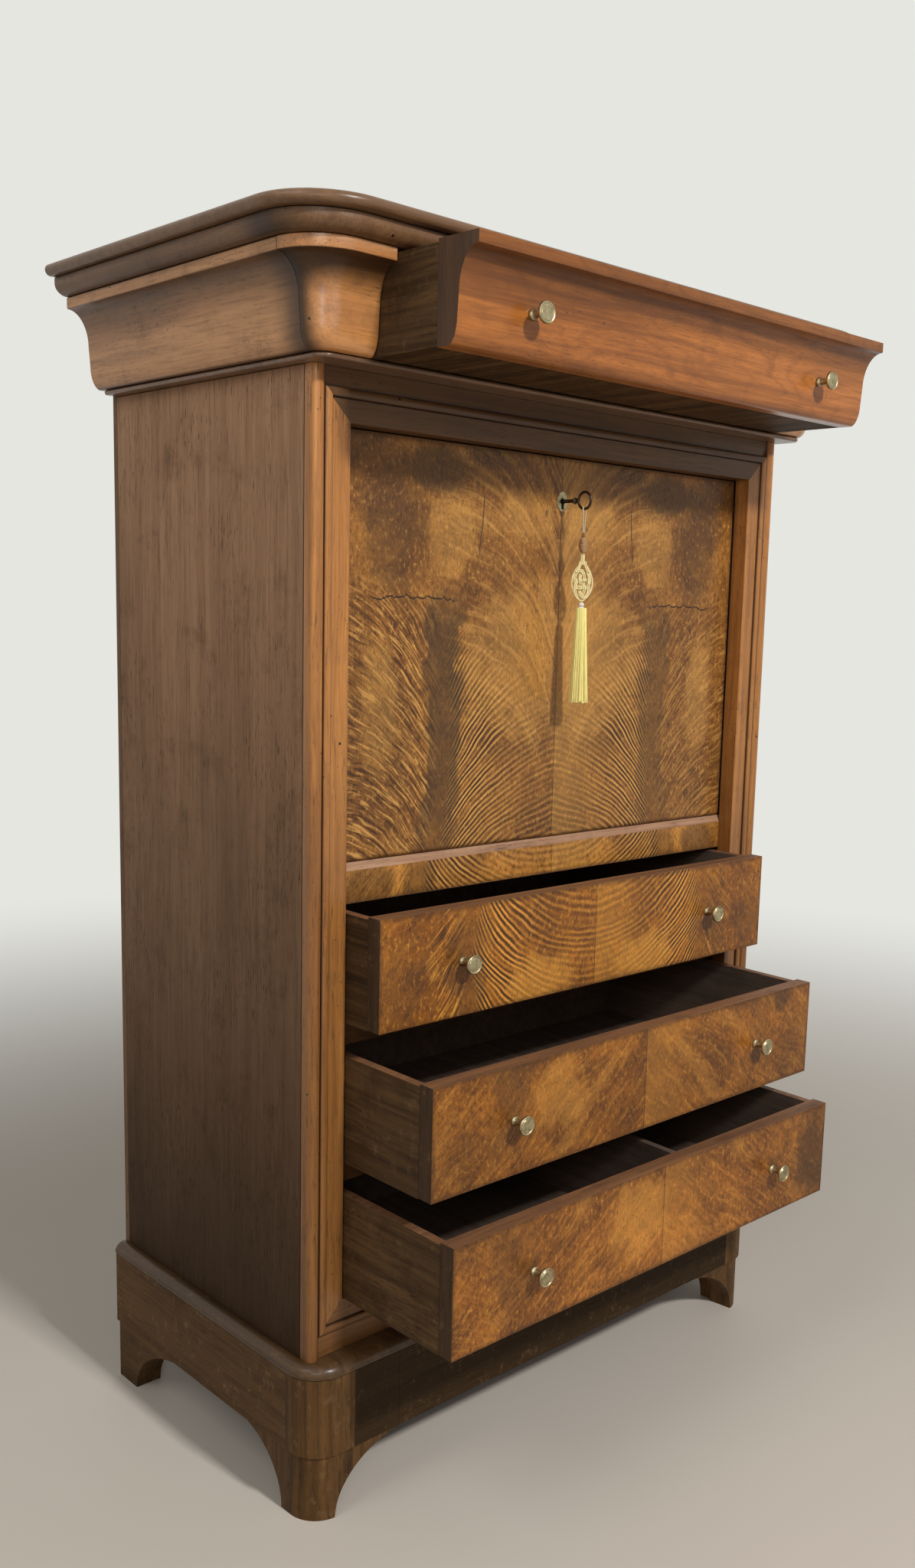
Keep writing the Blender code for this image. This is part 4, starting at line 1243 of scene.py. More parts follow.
TOP = PlainWalnut(
    "top_walnut", srgb(126, 93, 64), srgb(88, 62, 42), Grain.ACROSS, fleck=0.25, streak=0.5, grime=0.25,
    rough=0.36, coat=0.15, seed=2.0)
# The cornice drawer's front carries painted shade in its upper cove.
OGEE_FRONT = PlainWalnut(
    "cornice_drawer_walnut", srgb(188, 114, 50), srgb(118, 66, 25), Grain.ACROSS, fleck=0.40, streak=0.75,
    grime=0.50, rough=0.30, coat=0.30, seed=7.0, holes=0.6, dim=Fade(1.430, 1.366, 0.42), fine=2.2, curl=0.26)
OGEE_END = PlainWalnut(
    "cornice_drawer_end_walnut", srgb(92, 66, 46), srgb(56, 39, 27), Grain.UP, fleck=0.6, streak=0.6, grime=0.4,
    rough=0.55, seed=16.0, fine=1.5)
# The uprights carry painted shade, darker towards the floor.
UPRIGHT = PlainWalnut(
    "upright_walnut", srgb(202, 137, 69), srgb(134, 83, 39), Grain.UP, fleck=0.55, streak=0.62, grime=0.32,
    rough=0.38, coat=0.40, seed=4.0, holes=1.0, grooves=(0.3801, 0.3909), dim=Fade(0.05, 1.28, 0.64))
# The top rail's colour is darkened as painted shade: the shadow of the cornice drawer.
TOP_RAIL_SHADED = PlainWalnut(
    "top_rail_walnut", srgb(104, 70, 38), srgb(66, 43, 21), Grain.ACROSS, fleck=0.5, streak=0.5, grime=0.3,
    rough=0.40, coat=0.10, seed=6.0, holes=1.0, grooves=(1.2931, 1.3040), groove_across=Grain.UP)
# The bottom rail's darker colour holds painted shade low on the case; the drawer dividers and the small drawers
# share this finish.
LEVEL = PlainWalnut(
    "rail_walnut", srgb(122, 81, 43), srgb(82, 53, 27), Grain.ACROSS, fleck=0.5, streak=0.5, grime=0.3,
    rough=0.40, coat=0.10, seed=6.0, holes=1.0, grooves=(0.2334, 0.2225), groove_across=Grain.UP)
# The plinth front's colour is darkened well below the plinth sides as painted shade: the shadow of the drawers
# above.
PLINTH_FRONT_SHADED = PlainWalnut(
    "plinth_front_walnut", srgb(60, 43, 24), srgb(37, 26, 13), Grain.ACROSS, fleck=0.5, streak=0.6, grime=0.45,
    rough=0.55, seed=8.0, dust=0.28, gloss=0.10)
PLINTH_SIDE = PlainWalnut(
    "plinth_side_walnut", srgb(102, 74, 45), srgb(54, 38, 22), Grain.BACK, fleck=0.5, streak=0.5, grime=0.35,
    rough=0.55, seed=9.0, dust=0.50, gloss=0.10)
PLINTH_ROUND = PlainWalnut(
    "plinth_round_walnut", srgb(92, 66, 40), srgb(48, 33, 19), Grain.BACK, fleck=0.5, streak=0.5, grime=0.35,
    rough=0.36, coat=0.28, seed=9.0, dust=0.30, gloss=0.20)
PLINTH_CORNER = PlainWalnut(
    "plinth_corner_walnut", srgb(110, 77, 42), srgb(60, 41, 21), Grain.UP, fleck=0.7, streak=0.75, grime=0.45,
    rough=0.48, seed=10.0, dust=0.40, gloss=0.15)
TRAY = PlainWalnut(
    "tray_wood", srgb(100, 74, 46), srgb(48, 34, 21), Grain.BACK, fleck=0.8, streak=0.75, grime=0.65, rough=0.62,
    seed=11.0, dust=0.30, gloss=0.12)
HOLLOW = PlainWalnut(
    "tray_inside_wood", srgb(112, 92, 78), srgb(76, 62, 52), Grain.BACK, fleck=0.4, streak=0.6, grime=0.3,
    rough=0.70, seed=15.0)
CORE = PlainWalnut(
    "front_core_wood", srgb(138, 96, 64), srgb(90, 60, 39), Grain.ACROSS, fleck=0.5, streak=0.6, grime=0.4,
    rough=0.58, seed=12.0)
FRONT_END = PlainWalnut(
    "front_end_wood", srgb(74, 54, 35), srgb(40, 28, 18), Grain.UP, fleck=0.6, streak=0.6, grime=0.5, rough=0.60,
    seed=17.0, dust=0.32, gloss=0.15)
INNER = PlainWalnut(
    "inner_wood", srgb(112, 80, 54), srgb(76, 52, 34), Grain.ACROSS, fleck=0.4, streak=0.6, grime=0.3, rough=0.55,
    seed=13.0)
WORN = PlainWalnut(
    "worn_edge_wood", srgb(190, 148, 116), srgb(136, 98, 72), Grain.ACROSS, fleck=0.5, streak=0.7, grime=0.45,
    rough=0.45, coat=0.05, seed=14.0)
BRASS = OldMetal("knob_brass", srgb(184, 170, 134), srgb(108, 96, 70), rough=0.32, spots=0.6)
PLATE = OldMetal("plate_brass", srgb(168, 156, 122), srgb(84, 74, 54), rough=0.42, spots=0.7)
# Near-black painted shade for the inside of the keyhole.
KEYHOLE_SHADE = OldMetal("keyhole_dark", srgb(24, 20, 16), srgb(12, 10, 8), rough=0.7, spots=0.6, metallic=0.0)
IRON = OldMetal("key_iron", srgb(74, 60, 50), srgb(36, 28, 22), rough=0.42, spots=0.7, metallic=0.8)
BEAD_WOOD = OldMetal("bead_wood", srgb(178, 138, 100), srgb(84, 58, 38), rough=0.42, spots=0.6, metallic=0.0)
COLLAR = OldMetal("collar_bead", srgb(234, 228, 222), srgb(198, 186, 172), rough=0.35, spots=0.4, metallic=0.0)
GOLD_SILK = Silk("gold_silk", srgb(255, 247, 166), srgb(238, 214, 122))
KNOT_SILK = Silk("knot_silk", srgb(244, 230, 176), srgb(200, 170, 106))
PALE_SILK = Silk("pale_silk", srgb(206, 188, 152), srgb(146, 122, 90))


class Lamp(NamedTuple):
    """A soft lamp: its place, what it looks at, its power in watts and its size."""

    name: str
    place: Place
    aim: Place
    power: float
    size: float


@dataclass
class Studio:
    """Floor, light, sky and camera."""

    eye: Place = (-1.29657, -1.35054, 1.07412)
    yaw: float = 0.77479
    pitch: float = -0.1536
    roll: float = 0.0295
    focal: float = 1817.059
    middle: Point = (683.522, 1078.616)
    image: Point = (1195.0, 2048.0)
    sensor: float = 36.0
    near: float = 0.05
    floor_size: float = 40.0
    floor_dark: Colour = srgb(204, 194, 181)
    floor_light: Colour = srgb(212, 203, 191)
    floor_rough: float = 0.6
    floor_fade: Point = (0.9, 3.6)
    wall: Colour = srgb(230, 230, 225)
    glow: Colour = (1.0, 0.98, 0.95, 1.0)
    glow_strength: float = 0.22
    lamps: tuple[Lamp, ...] = (
        Lamp("front lamp", (-0.20, -3.6, 3.40), (0.0, 0.0, 0.85), 138.0, 0.35),
        Lamp("side lamp", (-2.3, -0.3, 2.9), (-0.3, 0.1, 1.0), 16.0, 1.4),
        Lamp("window lamp", (-2.2, -2.0, 1.80), (-0.2, 0.0, 0.9), 10.0, 0.7))

    def seen(self, graph: Graph) -> Wire:
        """Tell where the background itself is looked at, straight or in a shiny surface.

        Args:
            graph: The tree that asks.

        Returns:
            One there.
        """
        path = graph.add("ShaderNodeLightPath").outputs
        return graph.math("MAXIMUM", Wire(graph, path["Is Camera Ray"]), graph.math(
            "MAXIMUM", Wire(graph, path["Is Glossy Ray"]), Wire(graph, path["Is Transmission Ray"])))

    def camera(self) -> None:
        """Stand the camera where the photograph was taken."""
        up = Vector((0, 0, 1))
        ahead = Vector((math.sin(self.yaw), math.cos(self.yaw), 0.0))
        level = Vector((math.cos(self.yaw), -math.sin(self.yaw), 0.0))
        look = math.cos(self.pitch) * ahead + math.sin(self.pitch) * up
        above = -math.sin(self.pitch) * ahead + math.cos(self.pitch) * up
        right = math.cos(self.roll) * level + math.sin(self.roll) * above
        top = -math.sin(self.roll) * level + math.cos(self.roll) * above
        data = bpy.data.cameras.new("photograph")
        data.sensor_width = self.sensor
        data.lens = self.focal / self.image[1] * self.sensor
        data.shift_x = (self.image[0] / 2 - self.middle[0]) / self.image[1]
        data.shift_y = (self.middle[1] - self.image[1] / 2) / self.image[1]
        data.clip_start = self.near
        camera = stand("photograph", data)
        turn = Matrix((right, top, -look)).transposed().to_4x4()
        camera.matrix_world = Matrix.Translation(Vector(self.eye)) @ turn
        bpy.context.scene.camera = camera

    def floor(self) -> None:
        """Lay a plain pale floor that fades into the backdrop."""
        half = self.floor_size / 2
        mesh = bpy.data.meshes.new("floor")
        mesh.from_pydata([(-half, -half, 0), (half, -half, 0), (half, half, 0), (-half, half, 0)], [],
                         [(0, 1, 2, 3)])
        paint = Paint("floor_paint")
        x, y, _ = paint.place()
        haze = paint.noise(x * 1.5, y * 1.5, 0.0, 3.0)
        mesh.materials.append(paint.finish(paint.mix(haze, self.floor_dark, self.floor_light), self.floor_rough))
        far = paint.step(paint.math("SQRT", x * x + y * y), *self.floor_fade)
        wall = paint.node("ShaderNodeEmission", None, {"Color": self.wall, "Strength": 1.0})
        near = Wire(paint, paint.shader.outputs[0])
        both = paint.node("ShaderNodeMixShader", None, {0: far * self.seen(paint), 1: near, 2: wall})
        paint.feed(paint.output, {"Surface": both})
        stand("floor", mesh)

    def light(self) -> None:
        """Hang the soft lamps and set a pale sky."""
        for lamp in self.lamps:
            data = bpy.data.lights.new(lamp.name, "AREA")
            data.energy = lamp.power
            data.size = lamp.size
            away = Vector(lamp.place) - Vector(lamp.aim)
            turn = away.to_track_quat("Z", "Y").to_matrix().to_4x4()
            stand(lamp.name, data).matrix_world = Matrix.Translation(Vector(lamp.place)) @ turn
        world = bpy.data.worlds.new("sky")
        bpy.context.scene.world = world
        world.use_nodes = True
        sky = Graph(world.node_tree)
        glow = sky.node("ShaderNodeBackground", None, {"Color": self.glow, "Strength": self.glow_strength})
        wall = sky.node("ShaderNodeBackground", None, {"Color": self.wall, "Strength": 1.0})
        both = sky.node("ShaderNodeMixShader", None, {0: self.seen(sky), 1: glow, 2: wall})
        sky.add("ShaderNodeOutputWorld", None, {"Surface": both})


@dataclass
class Assembly(ABC):
    """A sub-assembly that is built in the workshop."""

    shop: Workshop

    @abstractmethod
    def build(self) -> None:
        """Build and dress its pieces."""


@dataclass
class Tassel(Assembly):
    """Silk tassel on the key: cord loop, ribbed bead, woven knot, collar and skirt."""

    cord_radius: float = 0.0009
    foot: float = 0.0013
    wire: float = 0.0016
    tip: float = 0.0022
    ribs: int = 7
    knot_thread: float = 0.00108
    knot_neck: float = 0.009
    knot_turn: float = -0.62
    pair: float = 0.00106
    weave: float = 0.0016
    collar: float = 0.0078
    skirt_gap: float = 0.0006
    skirt_neck: float = 0.0066
    skirt_spread: float = 0.0124
    thread: float = 0.00056
    threads: int = 190
    seed: int = 11

    def loop(self) -> None:
        """Hang the cord loop over the bow of the key."""
        low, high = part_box("tassel_loop")
        _, bead_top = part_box("tassel_bead")
        y = (low.y + high.y) / 2
        bend = self.wire + self.cord_radius + 0.0001
        middle = high.z - self.cord_radius - bend
        start = bead_top.z + 0.0002
        steps = 10
        rising: list[Place] = []
        for i in range(steps):
            share = i / steps
            x = self.foot + (bend - self.foot) * (3 * share ** 2 - 2 * share ** 3)
            rising.append((-x, y, start + (middle - start) * share))
        over = [(x, y, z) for x, z in arc((0.0, middle), (bend, bend), 180, 0, 14)]
        points = [*rising, *over, *[(-x, y, z) for x, y, z in reversed(rising)]]
        curve = bpy.data.curves.new("tassel_cord", "CURVE")
        curve.dimensions = "3D"
        curve.bevel_depth = self.cord_radius
        curve.bevel_resolution = 3
        curve.use_fill_caps = True
        spline = curve.splines.new("POLY")
        spline.points.add(len(points) - 1)
        for target, point in zip(spline.points, points):
            target.co = (*point, 1.0)
        curve.materials.append(self.shop.finish(PALE_SILK))
        cord = stand("tassel_cord", curve)
        self.shop.fit(cord, "tassel_loop", "silk", "tassel_loop")

    def bead(self) -> None:
        """Turn the ribbed bead with its small cap."""
        low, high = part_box("tassel_bead")
        middle = (low + high) / 2
        height = high.z - low.z
        radius = (high.x - low.x) / 2
        profile: list[Point] = [(0.0, 0.0), (radius * 0.42, 0.0)]
        steps = self.ribs * 6
        for i in range(steps + 1):
            share = i / steps
            body = radius * math.sin(math.pi * (0.13 + 0.72 * share)) ** 0.8
            groove = 0.85 + 0.15 * abs(math.sin(math.pi * share * self.ribs))
            profile.append((body * groove, height * (0.03 + 0.70 * share)))
        pivot = height - self.tip
        profile += [(0.0022, pivot - 0.0041), (0.0019, pivot - 0.0030), (0.0029, pivot - 0.0026),
                    (0.0031, pivot - 0.0022), (0.0029, pivot - 0.0018), (0.0018, pivot - 0.0015)]
        profile += arc((0.0, pivot), (self.tip, self.tip), -40, 90, 10)[:-1]
        profile.append((0.0, height))
        place = Matrix.Translation((middle.x, middle.y, low.z))
        piece = Shape().turned(profile, place, 36).piece(
            "tassel_bead_turned", self.shop.finish(BEAD_WOOD), angle=50)
        self.shop.fit(piece, "tassel", "turned_wood", "tassel_bead")

    def mat(self, wide: float, tall: float, drop: float, deep: float) -> list[list[Vector]]:
        """Weave one doubled thread over and under itself, with four loops round an oval.

        Args:
            wide: Half the mat's width.
            tall: Half its height.
            drop: How far its middle lies under the knot's.
            deep: How far the thread goes in front of the mat's plane and behind it.

        Returns:
            The points of the two plies, from the knot's middle.
        """
        steps = 240
        spots: list[Vector] = []
        for i in range(steps):
            turn = 3 * math.tau * i / steps
            phase = 4 * turn / 3 - math.pi / 3
            reach = 0.60 + 0.40 * math.cos(phase)
            spots.append(Vector((wide * reach * math.cos(turn), deep * math.sin(2 * phase),
                                 tall * reach * math.sin(turn) - drop)))
        plies: list[list[Vector]] = [[], []]
        for i in range(steps + 1):
            here = spots[i % steps]
            ahead = spots[(i + 1) % steps] - spots[(i - 1) % steps]
            aside = Vector((-ahead.z, 0.0, ahead.x)).normalized() * self.pair
            plies[0].append(here + aside)
            plies[1].append(here - aside)
        return plies

    def knot(self) -> None:
        """Weave the flat knot: a mat of doubled thread, one thread round it and the neck above."""
        low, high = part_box("tassel_knot")
        half = (high.x - low.x) / 2 - 2 * self.knot_thread
        tall = (high.z - low.z - self.knot_neck) / 2 - self.knot_thread
        centre = (low + high) / 2
        centre.z = low.z + self.knot_thread + tall
        lines = self.mat(half * 0.86 - self.pair, tall * 0.77, tall * 0.14, self.weave)
        steps, short = 40, 16
        for side in Side:
            lines.append([Vector((side.value * half * math.sin(math.pi * (i / steps) ** 0.88) ** 0.75, 0.0,
                                  tall * (2 * i / steps - 1))) for i in range(steps + 1)])
            for ply in (0, 1):
                start = 0.0012 + ply * 2 * self.pair
                lines.append([Vector((side.value * (start + 0.40 * half * (i / short) ** 1.3), -0.0012,
                                      tall * (1.02 - 0.56 * i / short))) for i in range(short + 1)])
        for i in range(7):
            angle = math.tau * i / 7
            ring = 0.0022 if i else 0.0
            lines.append([Vector((ring * math.cos(angle), ring * 0.7 * math.sin(angle),
                                  tall - 0.004 + (high.z - centre.z - tall + 0.003) * k / 5)) for k in range(6)])
        turn = Matrix.Rotation(self.knot_turn, 3, "Z")
        mesh = line_mesh("tassel_weave", [[centre + turn @ spot for spot in line] for line in lines])
        piece = self.shop.cording.run("tassel_weave", mesh, 60.0, Radius=self.knot_thread, Sides=8,
                                      Material=self.shop.finish(KNOT_SILK))
        self.shop.fit(piece, "tassel", "silk", "tassel_knot")

    def skirt(self) -> None:
        """Hang the skirt's threads under a pale collar bead."""
        low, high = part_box("tassel_skirt")
        centre = (low + high) / 2
        under = high.z - self.collar
        profile = [(0.0, 0.0), (0.0040, 0.0), (0.0043, 0.0007), (0.0040, 0.0014), (0.0030, 0.0018),
                   *arc((0.0, self.collar * 0.61), (0.0039, self.collar * 0.39), -60, 70, 12), (0.0, self.collar)]
        place = Matrix.Translation((centre.x, centre.y, under))
        bead = Shape().turned(profile, place, 28).piece("tassel_collar", self.shop.finish(COLLAR), angle=50)
        self.shop.fit(bead, "tassel", "turned_wood")
        piece = self.shop.fringe.run(
            "tassel_fringe", bpy.data.meshes.new("tassel_fringe"), 60.0, Count=self.threads,
            Top=(centre.x, centre.y, under + self.skirt_gap), Neck=self.skirt_neck, Spread=self.skirt_spread,
            Length=under - low.z - self.skirt_gap, Thread=self.thread, Seed=self.seed,
            Material=self.shop.finish(GOLD_SILK))
        self.shop.fit(piece, "tassel", "silk", "tassel_skirt")

    def build(self) -> None:
        """Build and dress what hangs on the cord loop."""
        self.bead()
        self.knot()
        self.skirt()


@dataclass
class Cornice(Assembly):
    """Ogee cornice with its astragal, round corner blocks, ovolo and top board."""

    half: float = 0.4075
    forward: float = 0.022
    block: float = 0.0475
    height: float = 0.105
    foot_out: float = 0.016
    belly: float = 0.0138
    belly_height: float = 0.027
    waist_height: float = 0.023
    waist_lean: float = 0.0019
    lip_out: float = 0.0592
    lip_ease: float = 0.0012
    fillet: float = 0.0138
    ovolo_foot: float = 0.0587
    ovolo_out: float = 0.0746
    ovolo_round: float = 0.0136
    ovolo_ease: float = 0.0008
    top_out: float = 0.0865
    astragal_out: float = 0.0165
    turn: float = 0.0005

    def ogee(self) -> list[Point]:
        """Give the ogee as out and height points, from its foot to the top of its lip.

        Returns:
            The points.
        """
        cove_low = self.belly_height + self.waist_height
        cove_high = self.height - self.fillet
        cove_out = self.foot_out + self.belly + self.waist_lean
        eased = self.lip_out - self.lip_ease
        belly = arc((self.foot_out, self.belly_height), (self.belly, self.belly_height), -90, 0)
        cove = arc((eased, cove_low), (eased - cove_out, cove_high - cove_low), 180, 90)
        lip = [(self.lip_out - 0.0004, cove_high + 0.0003), (self.lip_out, cove_high + 0.0014),
               (self.lip_out, self.height - self.lip_ease), (eased, self.height)]
        return [*belly, *cove, *lip]

    def face(self, low: float, high: float) -> list[Point]:
        """Give the ogee of a board, cut off at its lower and upper edge."""
        return [(out, min(max(low - SEAT + rise, low), high)) for out, rise in self.ogee()]

    def layer(self, name: str, node: str, edge: Sequence[Point], finish: Finish) -> None:
        """Stack a slab whose edge is moulded.

        Args:
            name: The piece's name.
            node: The node it stands for.
            edge: Out and height points of its edge.
            finish: Its finish.
        """
        _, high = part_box(node)
        rings = []
        for out, height in edge:
            outline = plan(self.half + out, FACE - self.forward - out, high.y, out, 24)
            rings.append([(x, y, height) for x, y in outline])
        self.shop.fit(Shape().rings(rings).piece(name, self.shop.finish(finish)), "case", "cornice_walnut", node)

    def half_round(self, node: str, out: float, steps: int) -> list[Point]:
        """Give the half-round edge of a slab.

        Args:
            node: The slab's node, which gives its heights.
            out: How far the edge stands out.
            steps: Straight steps in it.

        Returns:
            Out and height points.
        """
        low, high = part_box(node)
        radius = (high.z - low.z) / 2
        return arc((out - radius, low.z + radius), (radius, radius), -90, 90, steps)

    def flank(self, side: Side) -> None:
        """Run the ogee along one side and round its corner block.

        Args:
            side: The side.
        """
        low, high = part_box(f"cornice_side_{side.word}")
        face = self.face(low.z, high.z)
        edge = side.value * self.half
        path = [(edge, high.y), (edge, low.y)]
        front = FACE - self.forward
        bend = arc((self.turn - self.half, front + self.turn), (self.turn, self.turn), 180, 270, 26)
        run = [*bend, (self.block - self.half, front)]
        if side is Side.RIGHT:
            path.reverse()
            run = [(-x, y) for x, y in reversed(run)]
        piece = self.shop.moulding.along(
            f"cornice_ogee_{side.word}", path, [(-self.block, low.z), *face, (-self.block, high.z)],
            self.shop.finish(CORNICE))
        self.shop.fit(piece, "case", "cornice_walnut", f"cornice_side_{side.word}")
        piece = self.shop.moulding.along(
            f"cornice_round_{side.word}", run, [(0.0, low.z), *face, (0.0, high.z)], self.shop.finish(CORNER))
        self.shop.fit(piece, "case", "cornice_walnut", f"cornice_corner_{side.word}")

    def build(self) -> None:
        """Build and dress the fixed cornice."""
        self.layer("cornice_astragal", "astragal", self.half_round("astragal", self.astragal_out, 10), ASTRAGAL)
        low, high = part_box("top_moulding")
        edge = arc((self.ovolo_foot, low.z + self.ovolo_round),
                   (self.ovolo_out - self.ovolo_foot, self.ovolo_round), -90, 0, 12)
        edge += [(self.ovolo_out, high.z - self.ovolo_ease), (self.ovolo_out - self.ovolo_ease, high.z)]
        self.layer("cornice_ovolo", "top_moulding", edge, CORNICE)
        self.layer("cornice_top", "top_board", self.half_round("top_board", self.top_out, 12), TOP)
        for side in Side:
            self.flank(side)


@dataclass
class Case(Assembly):
    """Sides, back, face frame, rails and boards that never move."""

    opening: float = 0.355
    half: float = 0.4075
    inner: float = 0.391
    flat: float = 0.0255
    mitre: float = 0.0357
    depth: float = 0.0235
    proud: float = 0.004
    step: float = 0.0012
    bead: float = 0.00825
    bead_proud: float = 0.006
    ease: float = 0.0012
    quirk: float = 0.0004
    side_front: float = 0.0115
    frame_low: float = 0.2585
    frame_high: float = 1.268
    ledge: float = 0.008
    ledge_back: float = 0.0045

    def face(self) -> list[Point]:
        """Give the frame's moulded face as across and depth points from its inner edge.

        Returns:
            The points.
        """
        width = self.mitre - self.flat
        round_edge = arc((self.ease, self.ease), (self.ease, self.ease), 180, 270, 4)
        swell = arc((self.flat + width / 2, -self.step), (width / 2, self.proud - self.step), 180, 360, 16)
        quirk = [(self.flat - 2 * self.quirk, 0.0), (self.flat - self.quirk, 2 * self.quirk), (self.flat, 0.0)]
        return [(0.0, self.depth), *round_edge, *quirk, *swell, (self.mitre, 0.0)]

    def stile(self, side: Side) -> Object:
        """Build an upright with its corner bead, mitred at both ends.

        Args:
            side: The side.

        Returns:
            The piece.
        """
        low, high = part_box(f"stile_{side.word}")
        bead = arc((self.half - self.bead, self.bead - self.bead_proud), (self.bead, self.bead), 180, 360, 20)
        tongue = self.inner - SEAT
        back = [(self.half, self.side_front), (tongue, self.side_front), (tongue, self.depth)]
        section = [*[(self.opening + across, deep) for across, deep in self.face()], *bead, *back]
        foot: list[Place] = []
        head: list[Place] = []
        for i, (x, y) in enumerate(section):
            moulded = x <= self.opening + self.mitre + SPECK and i < len(section) - 2
            off = x - self.opening if moulded else 1.0
            foot.append((side.value * x, FACE + y, max(low.z, self.frame_low - off)))
            head.append((side.value * x, FACE + y, min(high.z, self.frame_high + off)))
        return Shape().rings([foot, head]).piece(f"frame_upright_{side.word}", self.shop.finish(UPRIGHT), angle=34)

    def rail(self, node: str, inner: float, finish: Finish) -> None:
        """Build the frame's top or bottom rail, mitred into the uprights.

        Args:
            node: The node it stands for.
            inner: Height of its inner edge.
            finish: Its finish.
        """
        low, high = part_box(node)
        away, outer = (1, high.z) if inner < (low.z + high.z) / 2 else (-1, low.z)
        back = high.y - FACE
        section = [(back, inner), *[(deep, inner + away * across) for across, deep in self.face()[1:]],
                   (0.0, outer), (back, outer)]
        left: list[Place] = []
        right: list[Place] = []
        for deep, height in section:
            reach = min(self.inner - 2 * SEAT, self.opening + abs(height - inner) - SEAT * 1.5)
            left.append((-reach, FACE + deep, height))
            right.append((reach, FACE + deep, height))
        piece = Shape().rings([left, right]).piece(f"{node}_moulded", self.shop.finish(finish), angle=34)
        self.shop.fit(piece, "case", "frame_walnut", node)

    def middle_rail(self) -> None:
        """Build the veneered rail under the fall with its worn ledge."""
        low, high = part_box("mid_rail")
        veneer = FlameVeneer(
            "rail_veneer", tuple(low), tuple(high), from_top=True, spine=0.225, patch=0.8, reach=0.16, curl=0.10,
            ripple_drop=0.0, plume=0.2, feather=0.5, seed=21.0, golden=srgb(206, 140, 62), brown=srgb(152, 97, 40),
            blots=(Blot(0.31, 0.755, 0.05, 0.03, 0.6),))
        under = high.z - self.ledge
        section = [(low.y + 0.0008, low.z), (high.y, low.z), (high.y, high.z), (low.y + self.ledge_back, high.z),
                   (low.y + 0.0004, under), (low.y, under - 0.0012), (low.y, low.z + 0.0008)]
        piece = Shape().prism(section, Grain.ACROSS, low.x, high.x).piece(
            "middle_rail_veneered", self.shop.finish(veneer), self.shop.finish(WORN), angle=20,
            pick=lambda centre, normal: 0 if normal.y < -0.95 else 1)
        self.shop.fit(piece, "case", "flame_veneer", "mid_rail")

    def build(self) -> None:
        """Build and dress the case."""
        for side in Side:
            self.shop.fit(self.stile(side), "case", "frame_walnut", f"stile_{side.word}")
            self.shop.keep(f"side_panel_{side.word}", SIDE)
        self.rail("frame_top_rail", self.frame_high, TOP_RAIL_SHADED)
        self.rail("frame_bottom_rail", self.frame_low, LEVEL)
        self.middle_rail()
        self.shop.keep("back_panel", SIDE_BACK)
        for name in ("carcass_bottom", "case_top", "writing_floor"):
            self.shop.keep(name, INNER)
        for name in ("drawer_divider_lower", "drawer_divider_upper"):
            self.shop.keep(name, LEVEL)


